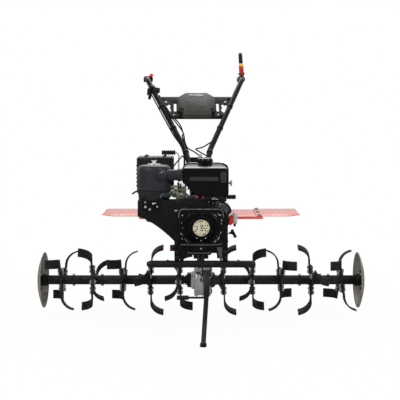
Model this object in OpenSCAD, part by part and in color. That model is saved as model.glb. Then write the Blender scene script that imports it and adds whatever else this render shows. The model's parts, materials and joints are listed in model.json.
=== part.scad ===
// Walk-behind tiller: a petrol engine on a slim gearbox, carried by a wide rotor of
// curved tines between two guard discs, with a folding front stand, mudguards over the
// tines and a V-shaped handlebar that swivels and tilts on the gearbox.
// The front faces -Y, +Z is up, and the origin is on the floor under the middle of the box.

/* [Rotor] */
// Distance from the axle to the farthest corner of a tine
rotor_r = 151; // [140:1:170]
// Distance from the middle of the machine to the first tine flange
first_flange_x = 93; // [90:1:110]
// Distance from one tine flange to the next
flange_pitch = 125; // [116:1:150]
// Width of a tine's flat bar
blade_w = 38; // [30:1:44]
// Thickness of a tine's flat bar
blade_t = 6; // [4:0.5:8]
// How far a tine's bar trails behind the axle's centre
blade_trail = 70; // [60:1:76]
// Radius of a tine's sideways bend
bend_r = 60; // [45:1:64]
// Length of the straight tip after the bend
tip_l = 12; // [6:1:14]
// Half the width of a square tine flange
flange_half = 50; // [44:1:54]
// Thickness of a tine flange
flange_t = 6; // [4:0.5:10]
// Distance from the axle to a corner of the six-sided tine tube
tube_r = 20; // [18:0.5:24]
// Wall of the six-sided tine tube
tube_wall = 4; // [3:0.5:5]
// Radius of a guard disc
disc_r = 118; // [100:1:140]
// Depth of a guard disc's dish
disc_dish = 25; // [10:1:30]

/* [Gearbox] */
// Radius of the gearbox's round lower case
case_r = 67; // [56:1:74]
// Half the width of the gearbox's lower case
case_half_w = 42; // [36:1:46]
// Half the width of the gearbox's neck
neck_half_w = 28; // [22:1:32]

/* [Engine] */
// Height of the engine's bed above the floor
bed_z = 320; // [312:1:336]
// Height of the crankshaft above the bed
crank_h = 106; // [100:1:112]
// Distance from the axle forward to the front of the starter cover
engine_front = 398; // [390:1:420]
// Distance from the axle forward to the back of the engine
engine_back = 140; // [132:1:150]
// Width of the fuel tank
tank_w = 178; // [160:1:190]
// Height of the fuel tank
tank_h = 124; // [110:1:130]
// Length of the fuel tank, front to back
tank_l = 190; // [160:1:200]
// Radius of the air cleaner
cleaner_r = 67; // [60:1:70]
// Height of the air cleaner
cleaner_h = 140; // [120:1:150]

/* [Frame] */
// Length of the bumper bar
bumper_l = 412; // [360:1:460]
// Diameter of the bumper bar
bumper_d = 27; // [24:1:32]
// Height of the bumper bar's centre
bumper_z = 292; // [284:1:298]
// Distance from the front of the starter cover forward to the bumper bar
bumper_gap = 42; // [38:1:72]
// Width of the front guard over its posts
guard_w = 202; // [190:1:230]
// Height of the front guard's top
guard_top_z = 506; // [480:1:530]

/* [Stand] */
// Distance from the axle forward to the middle of the stand's foot
foot_reach = 545; // [520:1:570]
// Radius of the stand's foot
foot_r = 12; // [10:1:16]
// Side of the stand's square upper tube
stand_sq = 23; // [20:1:26]
// Radius of the stand's round leg
stand_r = 9; // [7:0.5:10]

/* [Mudguards] */
// Height of the mudguards above the floor
guard_plate_z = 430; // [420:1:450]
// Distance from the middle to the outer edge of a mudguard's wing
wing_x = 412; // [380:1:450]
// Length of a mudguard, front to back
mudguard_l = 260; // [220:1:300]
// Thickness of the mudguard's sheet
mudguard_t = 3; // [2:0.5:4]

/* [Handlebar] */
// Sideways set of the handlebar, in degrees
handle_yaw = 2; // [0:0.5:5]
// Height of the grips above the floor
grip_z = 1010; // [960:1:1060]
// Half the distance between the grips
grip_half_w = 230; // [200:1:260]
// Distance from the swivel back to the bend of the handle tubes
handle_bend_y = 585; // [560:1:620]
// Length of the handle tubes behind that bend
handle_end_l = 165; // [158:1:190]
// Radius of the handle tubes
handle_r = 12; // [10:0.5:15]
// Wall of the handle tubes
handle_wall = 2.5; // [2:0.5:4]

/* [Hidden] */
$fn = 48;

// Shared small values
overrun = 1;
seat_gap = 0.3;
running_gap = 0.06;
bend_swell = 0.3;
bend_lap = 3;
quarter = 90;
half_turn = 180;

// Tine shape, in the tine's own frame: it points up, trails towards +Y and bends to +X
bend_deg = 70;
blade_reach = sqrt(pow(rotor_r, 2) - pow(blade_trail + blade_w / 2, 2));
bend_z = blade_reach - bend_r * sin(bend_deg) - tip_l * cos(bend_deg)
    - blade_t / 2 * sin(bend_deg);
trail_deg = atan2(blade_trail + blade_w / 2, blade_reach);
root_y_share = 0.1;
root_z_share = 0.16;
root_w_share = 0.9;
// The rotor stands on corners this many degrees before straight down, and the next ones are this many behind it
settle_deg = 12;
follow_deg = 18;
axle_z = rotor_r * cos(settle_deg);

// Turn of each flange and the side that its upright tines bend to, from the left end
lift_deg = -7;
lift_right_deg = -4;
fore_deg = trail_deg - settle_deg;
aft_deg = trail_deg + follow_deg;
flange_turns = [
    lift_deg, aft_deg - quarter, lift_deg, fore_deg, aft_deg,
    fore_deg, aft_deg, lift_right_deg, fore_deg, lift_right_deg
];
flange_bends = [1, 1, 1, 1, 1, 1, 1, -1, -1, 1];
flange_count = len(flange_turns) / 2;
// How far each flange stands from its even place
flange_shifts = [3, 9, 11, 1, 0, 0, -2, -3, 2, 0];
flange_places = [
    for (k = [0 : 2 * flange_count - 1])
        flange_shifts[k] + (k < flange_count
            ? -first_flange_x - flange_pitch * (flange_count - 1 - k)
            : first_flange_x + flange_pitch * (k - flange_count))
];
gang_flanges = 3;
gang_seam_x = first_flange_x + flange_pitch * (gang_flanges - 0.5);
last_flange_x = first_flange_x + flange_pitch * (flange_count - 1);
tube_tail = 56;
tube_outer_x = last_flange_x + tube_tail;
tube_inset = 30;
tube_inner_x = case_half_w + tube_inset;
spigot_l = 40;
spigot_gap = 0.4;
disc_t = 3;
disc_hub_r = 34;
disc_hub_l = 34;
disc_gap = 19;
disc_x = tube_outer_x + disc_gap;
disc_steps = 8;

// Gearbox
neck_front = 50;
neck_back = 56;
upper_rise = 22;
upper_z = bed_z + upper_rise;
upper_top_rise = 168;
upper_top_z = bed_z + upper_top_rise;
upper_half_w = 54;
upper_front = 32;
upper_back = 118;
case_left = 29;
boss_r = 38;
case_rib_t = 9;
case_rib_h = 6;
cover_steps = [[32, 13], [25, 11]];
axle_r = 15;
axle_hex_r = tube_r - tube_wall - spigot_gap;
axle_hex_l = 70;
bell_r = 84;
bell_flange_r = 94;
bell_flange_t = 12;
bell_back_r = 62;
crank_z = bed_z + crank_h;

// Engine
block_half_w = 88;
block_l = 162;
block_h = 176;
foot_half_w = 80;
tank_foot_x = 2;
tank_foot_w = 84;
tank_foot_l = 24;
foot_h = 16;
head_tilt = 13;
fin_count = 8;
fin_t = 4;
fin_pitch = 13;
fin_w = 92;
fin_l = 74;
core_w = 70;
head_start = 78;
head_l = 34;
cylinder_y = 204;
blower_r = 96;
blower_l = 62;
blower_wall = 3;
starter_r = 80;
starter_l = 34;
starter_step_r = 52;
starter_slots = 16;
starter_slot_w = 7;
starter_slot_in_share = 0.55;
starter_slot_out_share = 0.9;
screen_r = 33;
screen_t = 5;
cleaner_rise = 346;
cleaner_top_z = bed_z + cleaner_rise;
wing_left_x = 244;
wing_top_z = cleaner_top_z - cleaner_h - seat_gap;
wing_side_rise = 37;
wing_side_z = crank_z + wing_side_rise;
wing_low_x = 88;
wing_low_drop = 74;
wing_low_z = crank_z - wing_low_drop;
wing_bulge_shares = [0.725, 0.15];
wing_core_x_share = 0.42;
wing_core = [-wing_left_x * wing_core_x_share, wing_side_z];
wing_core_share = 0.94;
curve_steps = 10;

// Fuel tank, placed by its left edge, top and front
tank_left_x = -72;
tank_rise = 340;
tank_top_z = bed_z + tank_rise;
tank_front = 352;
tank_round = 22;
tank_wall = 4;
tank_cut_w_share = 0.38;
tank_cut_h_share = 0.46;
cap_r = 30;
cap_h = 24;
cap_x = 16;
cap_y = 250;
cap_neck_r = 22;

// Air cleaner
cleaner_x = -183;
cleaner_y = 300;
cleaner_seam_share = 0.254;
cleaner_round = 16;
cleaner_lip = 3;
nut_r = 20;
nut_h = 4;
wing_nut_l = 26;
wing_nut_t = 5;
wing_nut_h = 12;
snorkel_r = 21.5;
snorkel_wall = 3;
snorkel_rise = 302;
snorkel_z = bed_z + snorkel_rise;
snorkel_y = 338;
snorkel_end_x = -74;
snorkel_lip = 3;
snorkel_lip_l = 12;

// Carburettor
carb_x = -94;
carb_y = 270;
carb_rise = 238;
carb_z = bed_z + carb_rise;
carb_r = 19;
carb_l = 72;
carb_pipe_r = 14;
carb_bowl_r = 23;
carb_bowl_h = 30;
carb_arm = 34;
carb_arm_t = 4;

// Muffler
muffler_left_x = -256;
muffler_w = 146;
muffler_rise = 364;
muffler_top_z = bed_z + muffler_rise;
muffler_h = 146;
muffler_front = 226;
muffler_l = 112;
muffler_round = 24;
shield_wall = 2.5;
shield_gap = 5;
louvre_count = 6;
louvre_w = 6;
exhaust_r = 14;

// Small engine pieces
switch_w = 44;
switch_h = 56;
switch_l = 44;
switch_y = 330;
switch_rise = 128;
switch_z = bed_z + switch_rise;
filler_r = 11;
filler_cap_r = 14;
filler_l = 26;
filler_rise = 35;
filler_y = 262;
filler_lift = 10;
filler_z = bed_z + filler_lift;
starter_grip_r = 7;
starter_grip_l = 40;
starter_grip_x = 128;
starter_grip_rise = 76;
starter_grip_z = bed_z + starter_grip_rise;
starter_grip_y = 352;
starter_rope_r = 2;

// Frame
bumper_reach = engine_front + bumper_gap;
rail_x = 78;
rail_w = 34;
rail_h = 20;
rail_wall = 5;
rail_back = 96;
bed_plate_t = 4;
bed_plate_front = 330;
post_w = 20;
post_t = 22;
guard_round = 28;
guard_top_h = 10;
guard_bar_rise = 73;
guard_bar_z = bumper_z + guard_bar_rise;
guard_bar_h = 14;
ear_t = 5;
ear_gap = 0.5;
stand_x = 20;
stand_pin_r = 5;
stand_pin_drop = 36;
stand_pin_z = bumper_z - stand_pin_drop;
stand_pin_ahead = 6;
stand_pin_y = bumper_reach + stand_pin_ahead;
ear_r = 13;

// Stand
foot_h_share = 0.55;
stand_foot_x = 8;
stand_sq_l = 86;
stand_wall = 2;
pedal_z = 171;
pedal_r = 4;
pedal_l = 66;
pedal_sleeve_r = 7.5;
pedal_sleeve_l = 44;

// Mudguards
mudguard_gap = 4;
mudguard_in_x = upper_half_w + mudguard_gap;
mudguard_split_x = 255;
mudguard_front = 110;
mudguard_lip = 8;
wing_overlap = 26;
wing_cut = 46;
bracket_w = 40;
bracket_t = 5;

// Levers on the gearbox
lever_r = 4;
lever_bend_r = 14;
lever_grip_r = 10;
lever_grip_l = 54;
lever_grip_ribs = 7;
lever_rib_gap = 3;
lever_rib_depth = 2;
gear_lever_x = -88;
gear_lever_y = 18;
gear_lever_rise = 366;
gear_lever_z = bed_z + gear_lever_rise;
gear_grip_x = -110;
reverse_lever_y = 26;
reverse_lever_rise = 152;
reverse_lever_z = bed_z + reverse_lever_rise;
reverse_grip_x = 104;
reverse_grip_l = 42;

// Hitch
hitch_y = 214;
hitch_outer = 66;
hitch_inner = 44;
hitch_h = 96;
hitch_z = 208;
hitch_pin_r = 8.2;
hitch_pin_z = hitch_z + hitch_h / 2;
hitch_plate_w = 56;
hitch_plate_t = 10;

// Handlebar column
swivel_x = -9;
swivel_y = 56;
swivel_r = 40;
swivel_base_h = 30;
swivel_head_h = 22;
swivel_pin_r = 12;
lug_half_w = 17;
tilt_rise = 34;
tilt_z = upper_top_z + swivel_base_h + swivel_head_h + tilt_rise;
tilt_y = 16;
tilt_r = 24;
tilt_bolt_r = 7;
tilt_bolt_head_r = 12;
tilt_bolt_head_t = 8;
cheek_t = 7;
tooth_disc_r = 26;

// Handlebar, in its own frame: the swivel's axis is at x = y = 0, and +Y runs back
v_low_x = 33;
v_low_y = 58;
v_low_rise = 38;
v_low_z = tilt_z + v_low_rise;
// The tubes spread more above this place
knee_x = 56;
knee_share = 0.2;
handle_bend_r = 70;
grip_r = 16;
grip_l = 108;
grip_overhang = 4;
grip_end_y = handle_bend_y + handle_end_l + grip_overhang;
panel_low_share = 0.55;
panel_high_share = 0.783;
panel_t = 3;
panel_slot_w = 11;
panel_slot_l = 60;
panel_cover_w = 176;
panel_cover_top_w = 106;
panel_cover_low_w = 134;
panel_cover_low = -15;
panel_cover_l = 166;
panel_cover_h = 30;
panel_cover_low_shares = [0.2, 0.51];
panel_cover_high_share = 0.78;
clamp_wall = 5;
clamp_r = handle_r + clamp_wall;
clamp_l = 26;
clutch_reach = 59;
clutch_lever_l = 140;
clutch_lever_tilt = 42;
clutch_lever_w = 14;
clutch_lever_t = 6;
clutch_sleeve_r = 10;
clutch_sleeve_l = 70;
throttle_share = 0.86;
throttle_r = 17;
throttle_t = 22;
throttle_arm_l = 46;
stop_w = 30;
stop_inner = 28;
stop_drop = 14;
stop_h = 30;
stop_l = 24;
stop_button_x = 20;
stop_button_r = 8;
stop_button_h = 12;
cable_r = 3;
cable_bend_r = 26;
cable_rise = handle_r + cable_r + overrun;
cable_low_share = 0.12;
cable_high_shares = [0.8, 0.93];
cable_clip_y = 7;
cable_clip_x = sqrt(pow(swivel_r + cable_r + seat_gap, 2) - pow(cable_clip_y, 2));
cable_clip_z = upper_top_z + swivel_base_h + swivel_head_h / 2;
cable_joint_gap = 1.5;
cable_top_rise = 280;
cable_top_z = bed_z + cable_top_rise;
cable_end_x = 30;
cable_end_y = 150;

// Where the axle lies in the frame, with the floor's box centred on the origin
reach_front = foot_reach + foot_r;
reach_back = swivel_y + grip_end_y * cos(handle_yaw)
    + (grip_half_w + grip_r) * sin(handle_yaw);
axle_y = (reach_front - reach_back) / 2;

// Points on the handle tube, from the V's foot to the bend and on to the grip's end
handle_low = [v_low_x, v_low_y, v_low_z];
handle_bend = [grip_half_w, handle_bend_y, grip_z];
handle_end = [grip_half_w, handle_bend_y + handle_end_l, grip_z];
handle_knee = [
    knee_x,
    v_low_y + knee_share * (handle_bend_y - v_low_y),
    v_low_z + knee_share * (grip_z - v_low_z)
];
low_way = unit(handle_knee - handle_low);
high_way = unit(handle_bend - handle_knee);
function on_handle(share) = share < knee_share
    ? handle_low + share / knee_share * (handle_knee - handle_low)
    : handle_knee + (share - knee_share) / (1 - knee_share) * (handle_bend - handle_knee);
handle_rise = atan2(handle_bend[2] - handle_low[2], handle_bend[1] - handle_low[1]);

function unit(v) = v / norm(v);
function clamped(x) = max(-1, min(1, x));
function mirrored(path) = [for (p = path) [-p[0], p[1], p[2]]];
// A curve from a to c that leans towards b
function curve(a, b, c) = [
    for (k = [0 : curve_steps])
        let (s = k / curve_steps) pow(1 - s, 2) * a + 2 * s * (1 - s) * b + s * s * c
];
// The corner points of a box outline, rounded by r
function round_box(w, h, r) = [
    for (corner = [[1, 1, 0], [-1, 1, 1], [-1, -1, 2], [1, -1, 3]], k = [0 : 4])
        let (turn = quarter * (corner[2] + k / 4))
        [
            corner[0] * (w / 2 - r) + r * cos(turn),
            corner[1] * (h / 2 - r) + r * sin(turn)
        ]
];

module at_axle() { translate([0, axle_y, 0]) children(); }
module on_axle() { translate([0, axle_y, axle_z]) children(); }
module at_handle() { translate([swivel_x, axle_y + swivel_y, 0]) rotate(handle_yaw) children(); }
module both_ways(side) { if (side < 0) mirror([1, 0, 0]) children(); else children(); }
// A shape along X that starts at x and is drawn along +Z
module along_x(x) { translate([x, 0, 0]) rotate([0, quarter, 0]) children(); }
// A shape along -Y that starts at y and is drawn along +Z
module along_front(y) { translate([0, y, 0]) rotate([quarter, 0, 0]) children(); }
// An outline in x and z, drawn back from y
module slab(y, l) { translate([0, y, 0]) rotate([quarter, 0, 0]) translate([0, 0, -l]) linear_extrude(l)
    children(); }
// An outline in y and z, of width w about x
module side_plate(x, w) { translate([x - w / 2, 0, 0]) rotate([quarter, 0, quarter]) linear_extrude(w)
    children(); }
module rod(a, b, r) {
    d = b - a;
    translate(a) rotate([0, acos(clamped(d[2] / norm(d))), atan2(d[1], d[0])]) cylinder(r = r, h = norm(d));
}
// A round bar along straight stretches, with a true bend of radius bend at each inner point
module bent_rod(path, r, bend) {
    last = len(path) - 1;
    ways = [for (i = [0 : last - 1]) unit(path[i + 1] - path[i])];
    turns = [for (i = [0 : last]) i == 0 || i == last ? 0 : acos(clamped(ways[i - 1] * ways[i]))];
    cuts = [for (t = turns) bend * tan(t / 2)];
    for (i = [0 : last - 1])
        rod(path[i] + ways[i] * cuts[i], path[i + 1] - ways[i] * cuts[i + 1], r);
    for (i = [1 : max(1, last - 1)])
        if (i < last && turns[i] > 0) {
            d = ways[i - 1];
            inward = unit(ways[i] - d * (d * ways[i]));
            from = path[i] - d * cuts[i];
            centre = from + bend * inward;
            n = cross(-inward, d);
            multmatrix([
                [-inward[0], d[0], n[0], centre[0]],
                [-inward[1], d[1], n[1], centre[1]],
                [-inward[2], d[2], n[2], centre[2]],
                [0, 0, 0, 1]
            ]) rotate(-bend_lap) rotate_extrude(angle = turns[i] + 2 * bend_lap)
                translate([bend, 0]) circle(r + bend_swell);
        }
}
// A round grip along +Z with ribs cut round it
module ribbed_grip(r, l) {
    step = l / lever_grip_ribs;
    difference() {
        cylinder(r = r, h = l);
        for (k = [1 : lever_grip_ribs - 1])
            translate([0, 0, k * step - lever_rib_gap / 2])
                difference() {
                    cylinder(r = r + overrun, h = lever_rib_gap);
                    cylinder(r = r - lever_rib_depth, h = lever_rib_gap);
                }
    }
}

// Rotor
module tine_blade() {
    low = [blade_trail * root_y_share, blade_reach * root_z_share];
    side_plate(0, blade_t) polygon([
        [blade_trail - blade_w / 2, bend_z], low,
        [low[0] + blade_w * root_w_share, low[1] - blade_w * root_z_share],
        [blade_trail + blade_w / 2, bend_z]
    ]);
    translate([bend_r, blade_trail, bend_z]) rotate([quarter, 0, half_turn])
        rotate_extrude(angle = bend_deg)
            translate([bend_r - blade_t / 2, -blade_w / 2]) square([blade_t, blade_w]);
    translate([bend_r * (1 - cos(bend_deg)), blade_trail, bend_z + bend_r * sin(bend_deg)])
        rotate([0, bend_deg, 0]) translate([-blade_t / 2, -blade_w / 2, 0]) cube([blade_t, blade_w, tip_l]);
}
module tine(bend) {
    both_ways(bend) translate([(flange_t + blade_t) / 2, 0, 0]) tine_blade();
}
module tine_flange(k) {
    translate([flange_places[k], 0, 0]) rotate([flange_turns[k], 0, 0]) {
        side_plate(0, flange_t) difference() {
            polygon(round_box(flange_half * 2, flange_half * 2, flange_half / 4));
            circle(r = tube_r - tube_wall / 2, $fn = 6);
        }
        for (q = [0 : 3]) rotate([q * quarter, 0, 0]) tine(flange_bends[k] * (q % 2 == 0 ? 1 : -1));
    }
}
module hex_tube(from, to) {
    along_x(from) difference() {
        cylinder(r = tube_r, h = to - from, $fn = 6);
        translate([0, 0, -overrun]) cylinder(r = tube_r - tube_wall, h = to - from + 2 * overrun, $fn = 6);
    }
}
module tine_gang(first, last, from, to) {
    color("dimgray") on_axle() {
        hex_tube(from, to);
        for (k = [first : last]) tine_flange(k);
    }
}
module tine_gang_left_outer() { tine_gang(0, 1, -tube_outer_x, -gang_seam_x); }
module tine_gang_left_inner() { tine_gang(2, 4, -gang_seam_x, -tube_inner_x); }
module tine_gang_right_inner() { tine_gang(5, 7, tube_inner_x, gang_seam_x); }
module tine_gang_right_outer() { tine_gang(8, 9, gang_seam_x, tube_outer_x); }
module guard_disc() {
    dish = [for (k = [0 : disc_steps]) let (s = k / disc_steps) [disc_r * s, disc_dish * (1 - s * s)]];
    back = [for (k = [disc_steps : -1 : 0]) [dish[k][0], dish[k][1] - disc_t]];
    hub_x = disc_dish - disc_t / 2;
    along_x(disc_x) rotate_extrude() polygon(concat(dish, back));
    along_x(tube_outer_x + seat_gap)
        cylinder(r = tube_r + overrun, h = disc_x + hub_x - tube_outer_x - seat_gap, $fn = 6);
    along_x(tube_outer_x - spigot_l) cylinder(r = axle_hex_r, h = spigot_l + disc_hub_l / 2, $fn = 6);
}
module guard_disc_left() { color("slategray") on_axle() mirror([1, 0, 0]) guard_disc(); }
module guard_disc_right() { color("slategray") on_axle() guard_disc(); }
module drive_axle() {
    color("silver") on_axle() {
        along_x(-tube_inner_x) cylinder(r = axle_r, h = 2 * tube_inner_x);
        for (side = [-1, 1]) both_ways(side)
            along_x(tube_inner_x - overrun) cylinder(r = axle_hex_r, h = axle_hex_l, $fn = 6);
        for (side = [-1, 1]) both_ways(side)
            along_x(gang_seam_x - spigot_l) cylinder(r = axle_hex_r, h = 2 * spigot_l, $fn = 6);
    }
}

// Gearbox
module gearbox() {
    color("lightgray") difference() {
        union() {
            on_axle() along_x(-case_left) cylinder(r = case_r, h = case_left + case_half_w);
            on_axle() along_x(-case_half_w) cylinder(r = boss_r, h = case_half_w);
            on_axle() along_x(-case_rib_t / 2) cylinder(r = case_r + case_rib_h, h = case_rib_t);
            at_axle() translate([-neck_half_w, -neck_front, axle_z])
                cube([2 * neck_half_w, neck_front + neck_back, upper_z - axle_z + overrun]);
            at_axle() translate([-upper_half_w, -upper_front, upper_z])
                cube([2 * upper_half_w, upper_front + upper_back, upper_top_z - upper_z]);
        }
        on_axle() along_x(-case_half_w - overrun)
            cylinder(r = axle_r + running_gap, h = 2 * (case_half_w + overrun));
    }
}
module axle_cover() {
    on_axle() difference() {
        union() {
            along_x(case_half_w) cylinder(r = cover_steps[0][0], h = cover_steps[0][1]);
            along_x(case_half_w + cover_steps[0][1]) cylinder(r = cover_steps[1][0], h = cover_steps[1][1]);
        }
        along_x(case_half_w - overrun)
            cylinder(r = axle_r + running_gap, h = cover_steps[0][1] + cover_steps[1][1] + 2 * overrun);
    }
}
module axle_cover_left() { color("black") mirror([1, 0, 0]) axle_cover(); }
module axle_cover_right() { color("black") axle_cover(); }
module clutch_housing() {
    color("silver") at_axle() translate([0, 0, crank_z]) {
        along_front(-upper_front)
            cylinder(r1 = bell_back_r, r2 = bell_r, h = engine_back - upper_front - bell_flange_t);
        along_front(-engine_back + bell_flange_t) cylinder(r = bell_flange_r, h = bell_flange_t);
    }
}

// Engine
module crankcase() {
    color("gray") at_axle() {
        translate([-block_half_w, -engine_back - block_l, bed_z + foot_h])
            cube([2 * block_half_w, block_l, block_h - foot_h]);
        translate([-foot_half_w, -engine_back - block_l, bed_z]) cube([2 * foot_half_w, block_l, foot_h]);
        for (y = [-engine_back - block_l, -engine_back - 2 * tank_foot_l])
            translate([tank_foot_x, y, bed_z + block_h])
                cube([tank_foot_w, tank_foot_l, tank_top_z - tank_h - bed_z - block_h]);
    }
}
module at_head() {
    at_axle() translate([0, -cylinder_y, crank_z]) rotate([0, head_tilt, 0]) mirror([1, 0, 0]) children();
}
module cylinder_barrel() {
    color("gray") difference() {
        at_head() {
            translate([block_half_w / 2, -core_w / 2, -core_w / 2])
                cube([block_half_w / 2 + head_start + fin_pitch, core_w, core_w]);
            for (k = [1 : fin_count])
                translate([block_half_w + fin_pitch * k, -fin_l / 2, -fin_w / 2])
                    cube([fin_t, fin_l, fin_w]);
            translate([block_half_w + head_start + fin_pitch, -fin_l / 2, -fin_w / 2])
                cube([head_l, fin_l, fin_w]);
        }
        at_axle() translate([-block_half_w, -engine_back - block_l, bed_z])
            cube([2 * block_half_w, block_l, block_h + fin_w]);
    }
}
module wing_outline() {
    low_edge = curve(
        [-wing_left_x, wing_side_z],
        [-wing_left_x * wing_bulge_shares[0],
            wing_side_z + (wing_low_z - wing_side_z) * wing_bulge_shares[1]],
        [-wing_low_x, wing_low_z]
    );
    polygon(concat([[0, wing_top_z], [-wing_left_x, wing_top_z]], low_edge, [[0, wing_low_z]]));
}
module blower_housing() {
    front = engine_front - starter_l;
    color("black") at_axle() {
        difference() {
            union() {
                translate([0, 0, crank_z]) along_front(-front + blower_l)
                    cylinder(r = blower_r, h = blower_l);
                slab(-front, blower_l) wing_outline();
            }
            translate([0, 0, crank_z]) along_front(-front + blower_l + overrun)
                cylinder(r = blower_r - blower_wall, h = blower_l - blower_wall + overrun);
            slab(-front + blower_wall, blower_l) translate([wing_core[0], wing_core[1]])
                scale(wing_core_share) translate([-wing_core[0], -wing_core[1]]) wing_outline();
        }
    }
}
module starter_cover() {
    slot_in = starter_r * starter_slot_in_share;
    slot_out = starter_r * starter_slot_out_share;
    color("black") at_axle() translate([0, 0, crank_z]) difference() {
        along_front(-engine_front + starter_l) {
            cylinder(r = starter_r, h = starter_l * 2 / 3);
            cylinder(r = starter_step_r, h = starter_l);
        }
        for (k = [0 : starter_slots - 1])
            rotate([0, k * 2 * half_turn / starter_slots, 0])
                translate([slot_in, -engine_front - overrun, -starter_slot_w / 2])
                    cube([slot_out - slot_in, starter_l / 2 + overrun, starter_slot_w]);
        along_front(-engine_front + screen_t) cylinder(r = screen_r + seat_gap, h = screen_t + overrun);
    }
}
module starter_screen() {
    color("wheat") at_axle() translate([0, 0, crank_z])
        along_front(-engine_front + screen_t) cylinder(r = screen_r, h = screen_t);
}
module starter_grip() {
    color("black") at_axle() {
        translate([starter_grip_x, -starter_grip_y, starter_grip_z - starter_grip_l / 2])
            cylinder(r = starter_grip_r, h = starter_grip_l);
        rope_x = sqrt(pow(blower_r, 2) - pow(crank_z - starter_grip_z, 2)) + overrun;
        rod([rope_x, -starter_grip_y, starter_grip_z], [starter_grip_x, -starter_grip_y, starter_grip_z],
            starter_rope_r);
    }
}
module tank_outline() {
    cut_w = tank_w * tank_cut_w_share;
    cut_h = tank_h * tank_cut_h_share;
    r = tank_round;
    polygon(concat(
        [[cut_w, 0], [tank_w - r / 2, 0], [tank_w, r / 2], [tank_w, tank_h - r]],
        [for (k = [0 : 4]) [tank_w - r + r * cos(quarter * k / 4), tank_h - r + r * sin(quarter * k / 4)]],
        [for (k = [0 : 4]) [r - r * sin(quarter * k / 4), tank_h - r + r * cos(quarter * k / 4)]],
        [[0, cut_h]]
    ));
}
module fuel_tank() {
    middle = [tank_w / 2, tank_h / 2];
    color("black") at_axle() difference() {
        translate([tank_left_x, 0, tank_top_z - tank_h]) slab(-tank_front, tank_l) tank_outline();
        translate([tank_left_x, 0, tank_top_z - tank_h])
            slab(-tank_front + tank_wall, tank_l - 2 * tank_wall)
            translate(middle) scale(1 - 2 * tank_wall / tank_h) translate(-middle) tank_outline();
        translate([cap_x, -cap_y, tank_top_z - 2 * tank_wall])
            cylinder(r = cap_neck_r + seat_gap, h = 3 * tank_wall);
    }
}
module fuel_cap() {
    color("black") at_axle() translate([cap_x, -cap_y, tank_top_z]) {
        translate([0, 0, -tank_wall]) cylinder(r = cap_neck_r, h = tank_wall + overrun);
        cylinder(r = cap_r, h = cap_h);
    }
}
module at_cleaner() { at_axle() translate([cleaner_x, -cleaner_y, cleaner_top_z - cleaner_h]) children(); }
module air_cleaner_bowl() {
    seam = cleaner_h * cleaner_seam_share;
    color("black") at_cleaner() {
        cylinder(r1 = cleaner_r - 2 * cleaner_lip, r2 = cleaner_r - cleaner_lip, h = seam - cleaner_lip);
        translate([0, 0, seam - cleaner_lip]) cylinder(r = cleaner_r - cleaner_lip, h = cleaner_lip);
    }
}
module air_cleaner_lid() {
    seam = cleaner_h * cleaner_seam_share;
    r = cleaner_round;
    body = cleaner_h - nut_h - seam;
    color("black") at_cleaner() translate([0, 0, seam]) {
        rotate_extrude() polygon(concat(
            [[0, 0], [cleaner_r, 0], [cleaner_r, body - r]],
            [for (k = [0 : 6]) [
                cleaner_r - r + r * cos(quarter * k / 6), body - r + r * sin(quarter * k / 6)
            ]],
            [[0, body]]
        ));
        translate([0, 0, body]) cylinder(r = nut_r, h = nut_h);
        translate([0, 0, body + nut_h]) {
            cylinder(r = wing_nut_t, h = wing_nut_h);
            translate([-wing_nut_l / 2, -wing_nut_t / 2, 0]) cube([wing_nut_l, wing_nut_t, wing_nut_h / 2]);
        }
    }
}
module air_snorkel() {
    start = cleaner_x + sqrt(pow(cleaner_r, 2) - pow(snorkel_y - cleaner_y + snorkel_r, 2));
    color("black") at_axle() difference() {
        translate([0, -snorkel_y, snorkel_z]) {
            along_x(start) cylinder(r = snorkel_r, h = snorkel_end_x - start);
            along_x(snorkel_end_x - snorkel_lip_l) cylinder(r = snorkel_r + snorkel_lip, h = snorkel_lip_l);
        }
        translate([0, -snorkel_y, snorkel_z])
            along_x(snorkel_end_x - snorkel_lip_l - snorkel_r)
                cylinder(r = snorkel_r - snorkel_wall, h = 2 * snorkel_r + snorkel_lip_l);
        translate([cleaner_x, -cleaner_y, cleaner_top_z - cleaner_h])
            cylinder(r = cleaner_r + seat_gap, h = cleaner_h);
    }
}
module carburettor() {
    pipe_x = carb_l / 2 - carb_pipe_r;
    color("darkkhaki") at_axle() difference() {
        translate([carb_x, -carb_y, carb_z]) {
            along_x(-carb_l / 2) cylinder(r = carb_r, h = carb_l);
            translate([0, 0, -carb_bowl_h]) cylinder(r = carb_bowl_r, h = carb_bowl_h);
            translate([carb_l / 4, -carb_r - carb_arm_t, -carb_arm_t]) cube([carb_arm_t, carb_r, carb_arm]);
            translate([pipe_x, 0, bed_z + block_h - carb_z])
                cylinder(r = carb_pipe_r, h = carb_z - bed_z - block_h);
        }
        translate([cleaner_x, -cleaner_y, cleaner_top_z - cleaner_h])
            cylinder(r = cleaner_r + seat_gap, h = cleaner_h);
    }
}
module shield_outline(inset) {
    w = muffler_w - 2 * inset;
    h = muffler_h - inset;
    r = muffler_round;
    polygon(concat(
        [[-w / 2, 0], [w / 2, 0]],
        [for (k = [0 : 5]) [w / 2 - r + r * cos(quarter * k / 5), h - r + r * sin(quarter * k / 5)]],
        [for (k = [0 : 5]) [-w / 2 + r - r * sin(quarter * k / 5), h - r + r * cos(quarter * k / 5)]]
    ));
}
module at_muffler() {
    at_axle() translate([muffler_left_x + muffler_w / 2, 0, muffler_top_z - muffler_h]) children();
}
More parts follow.
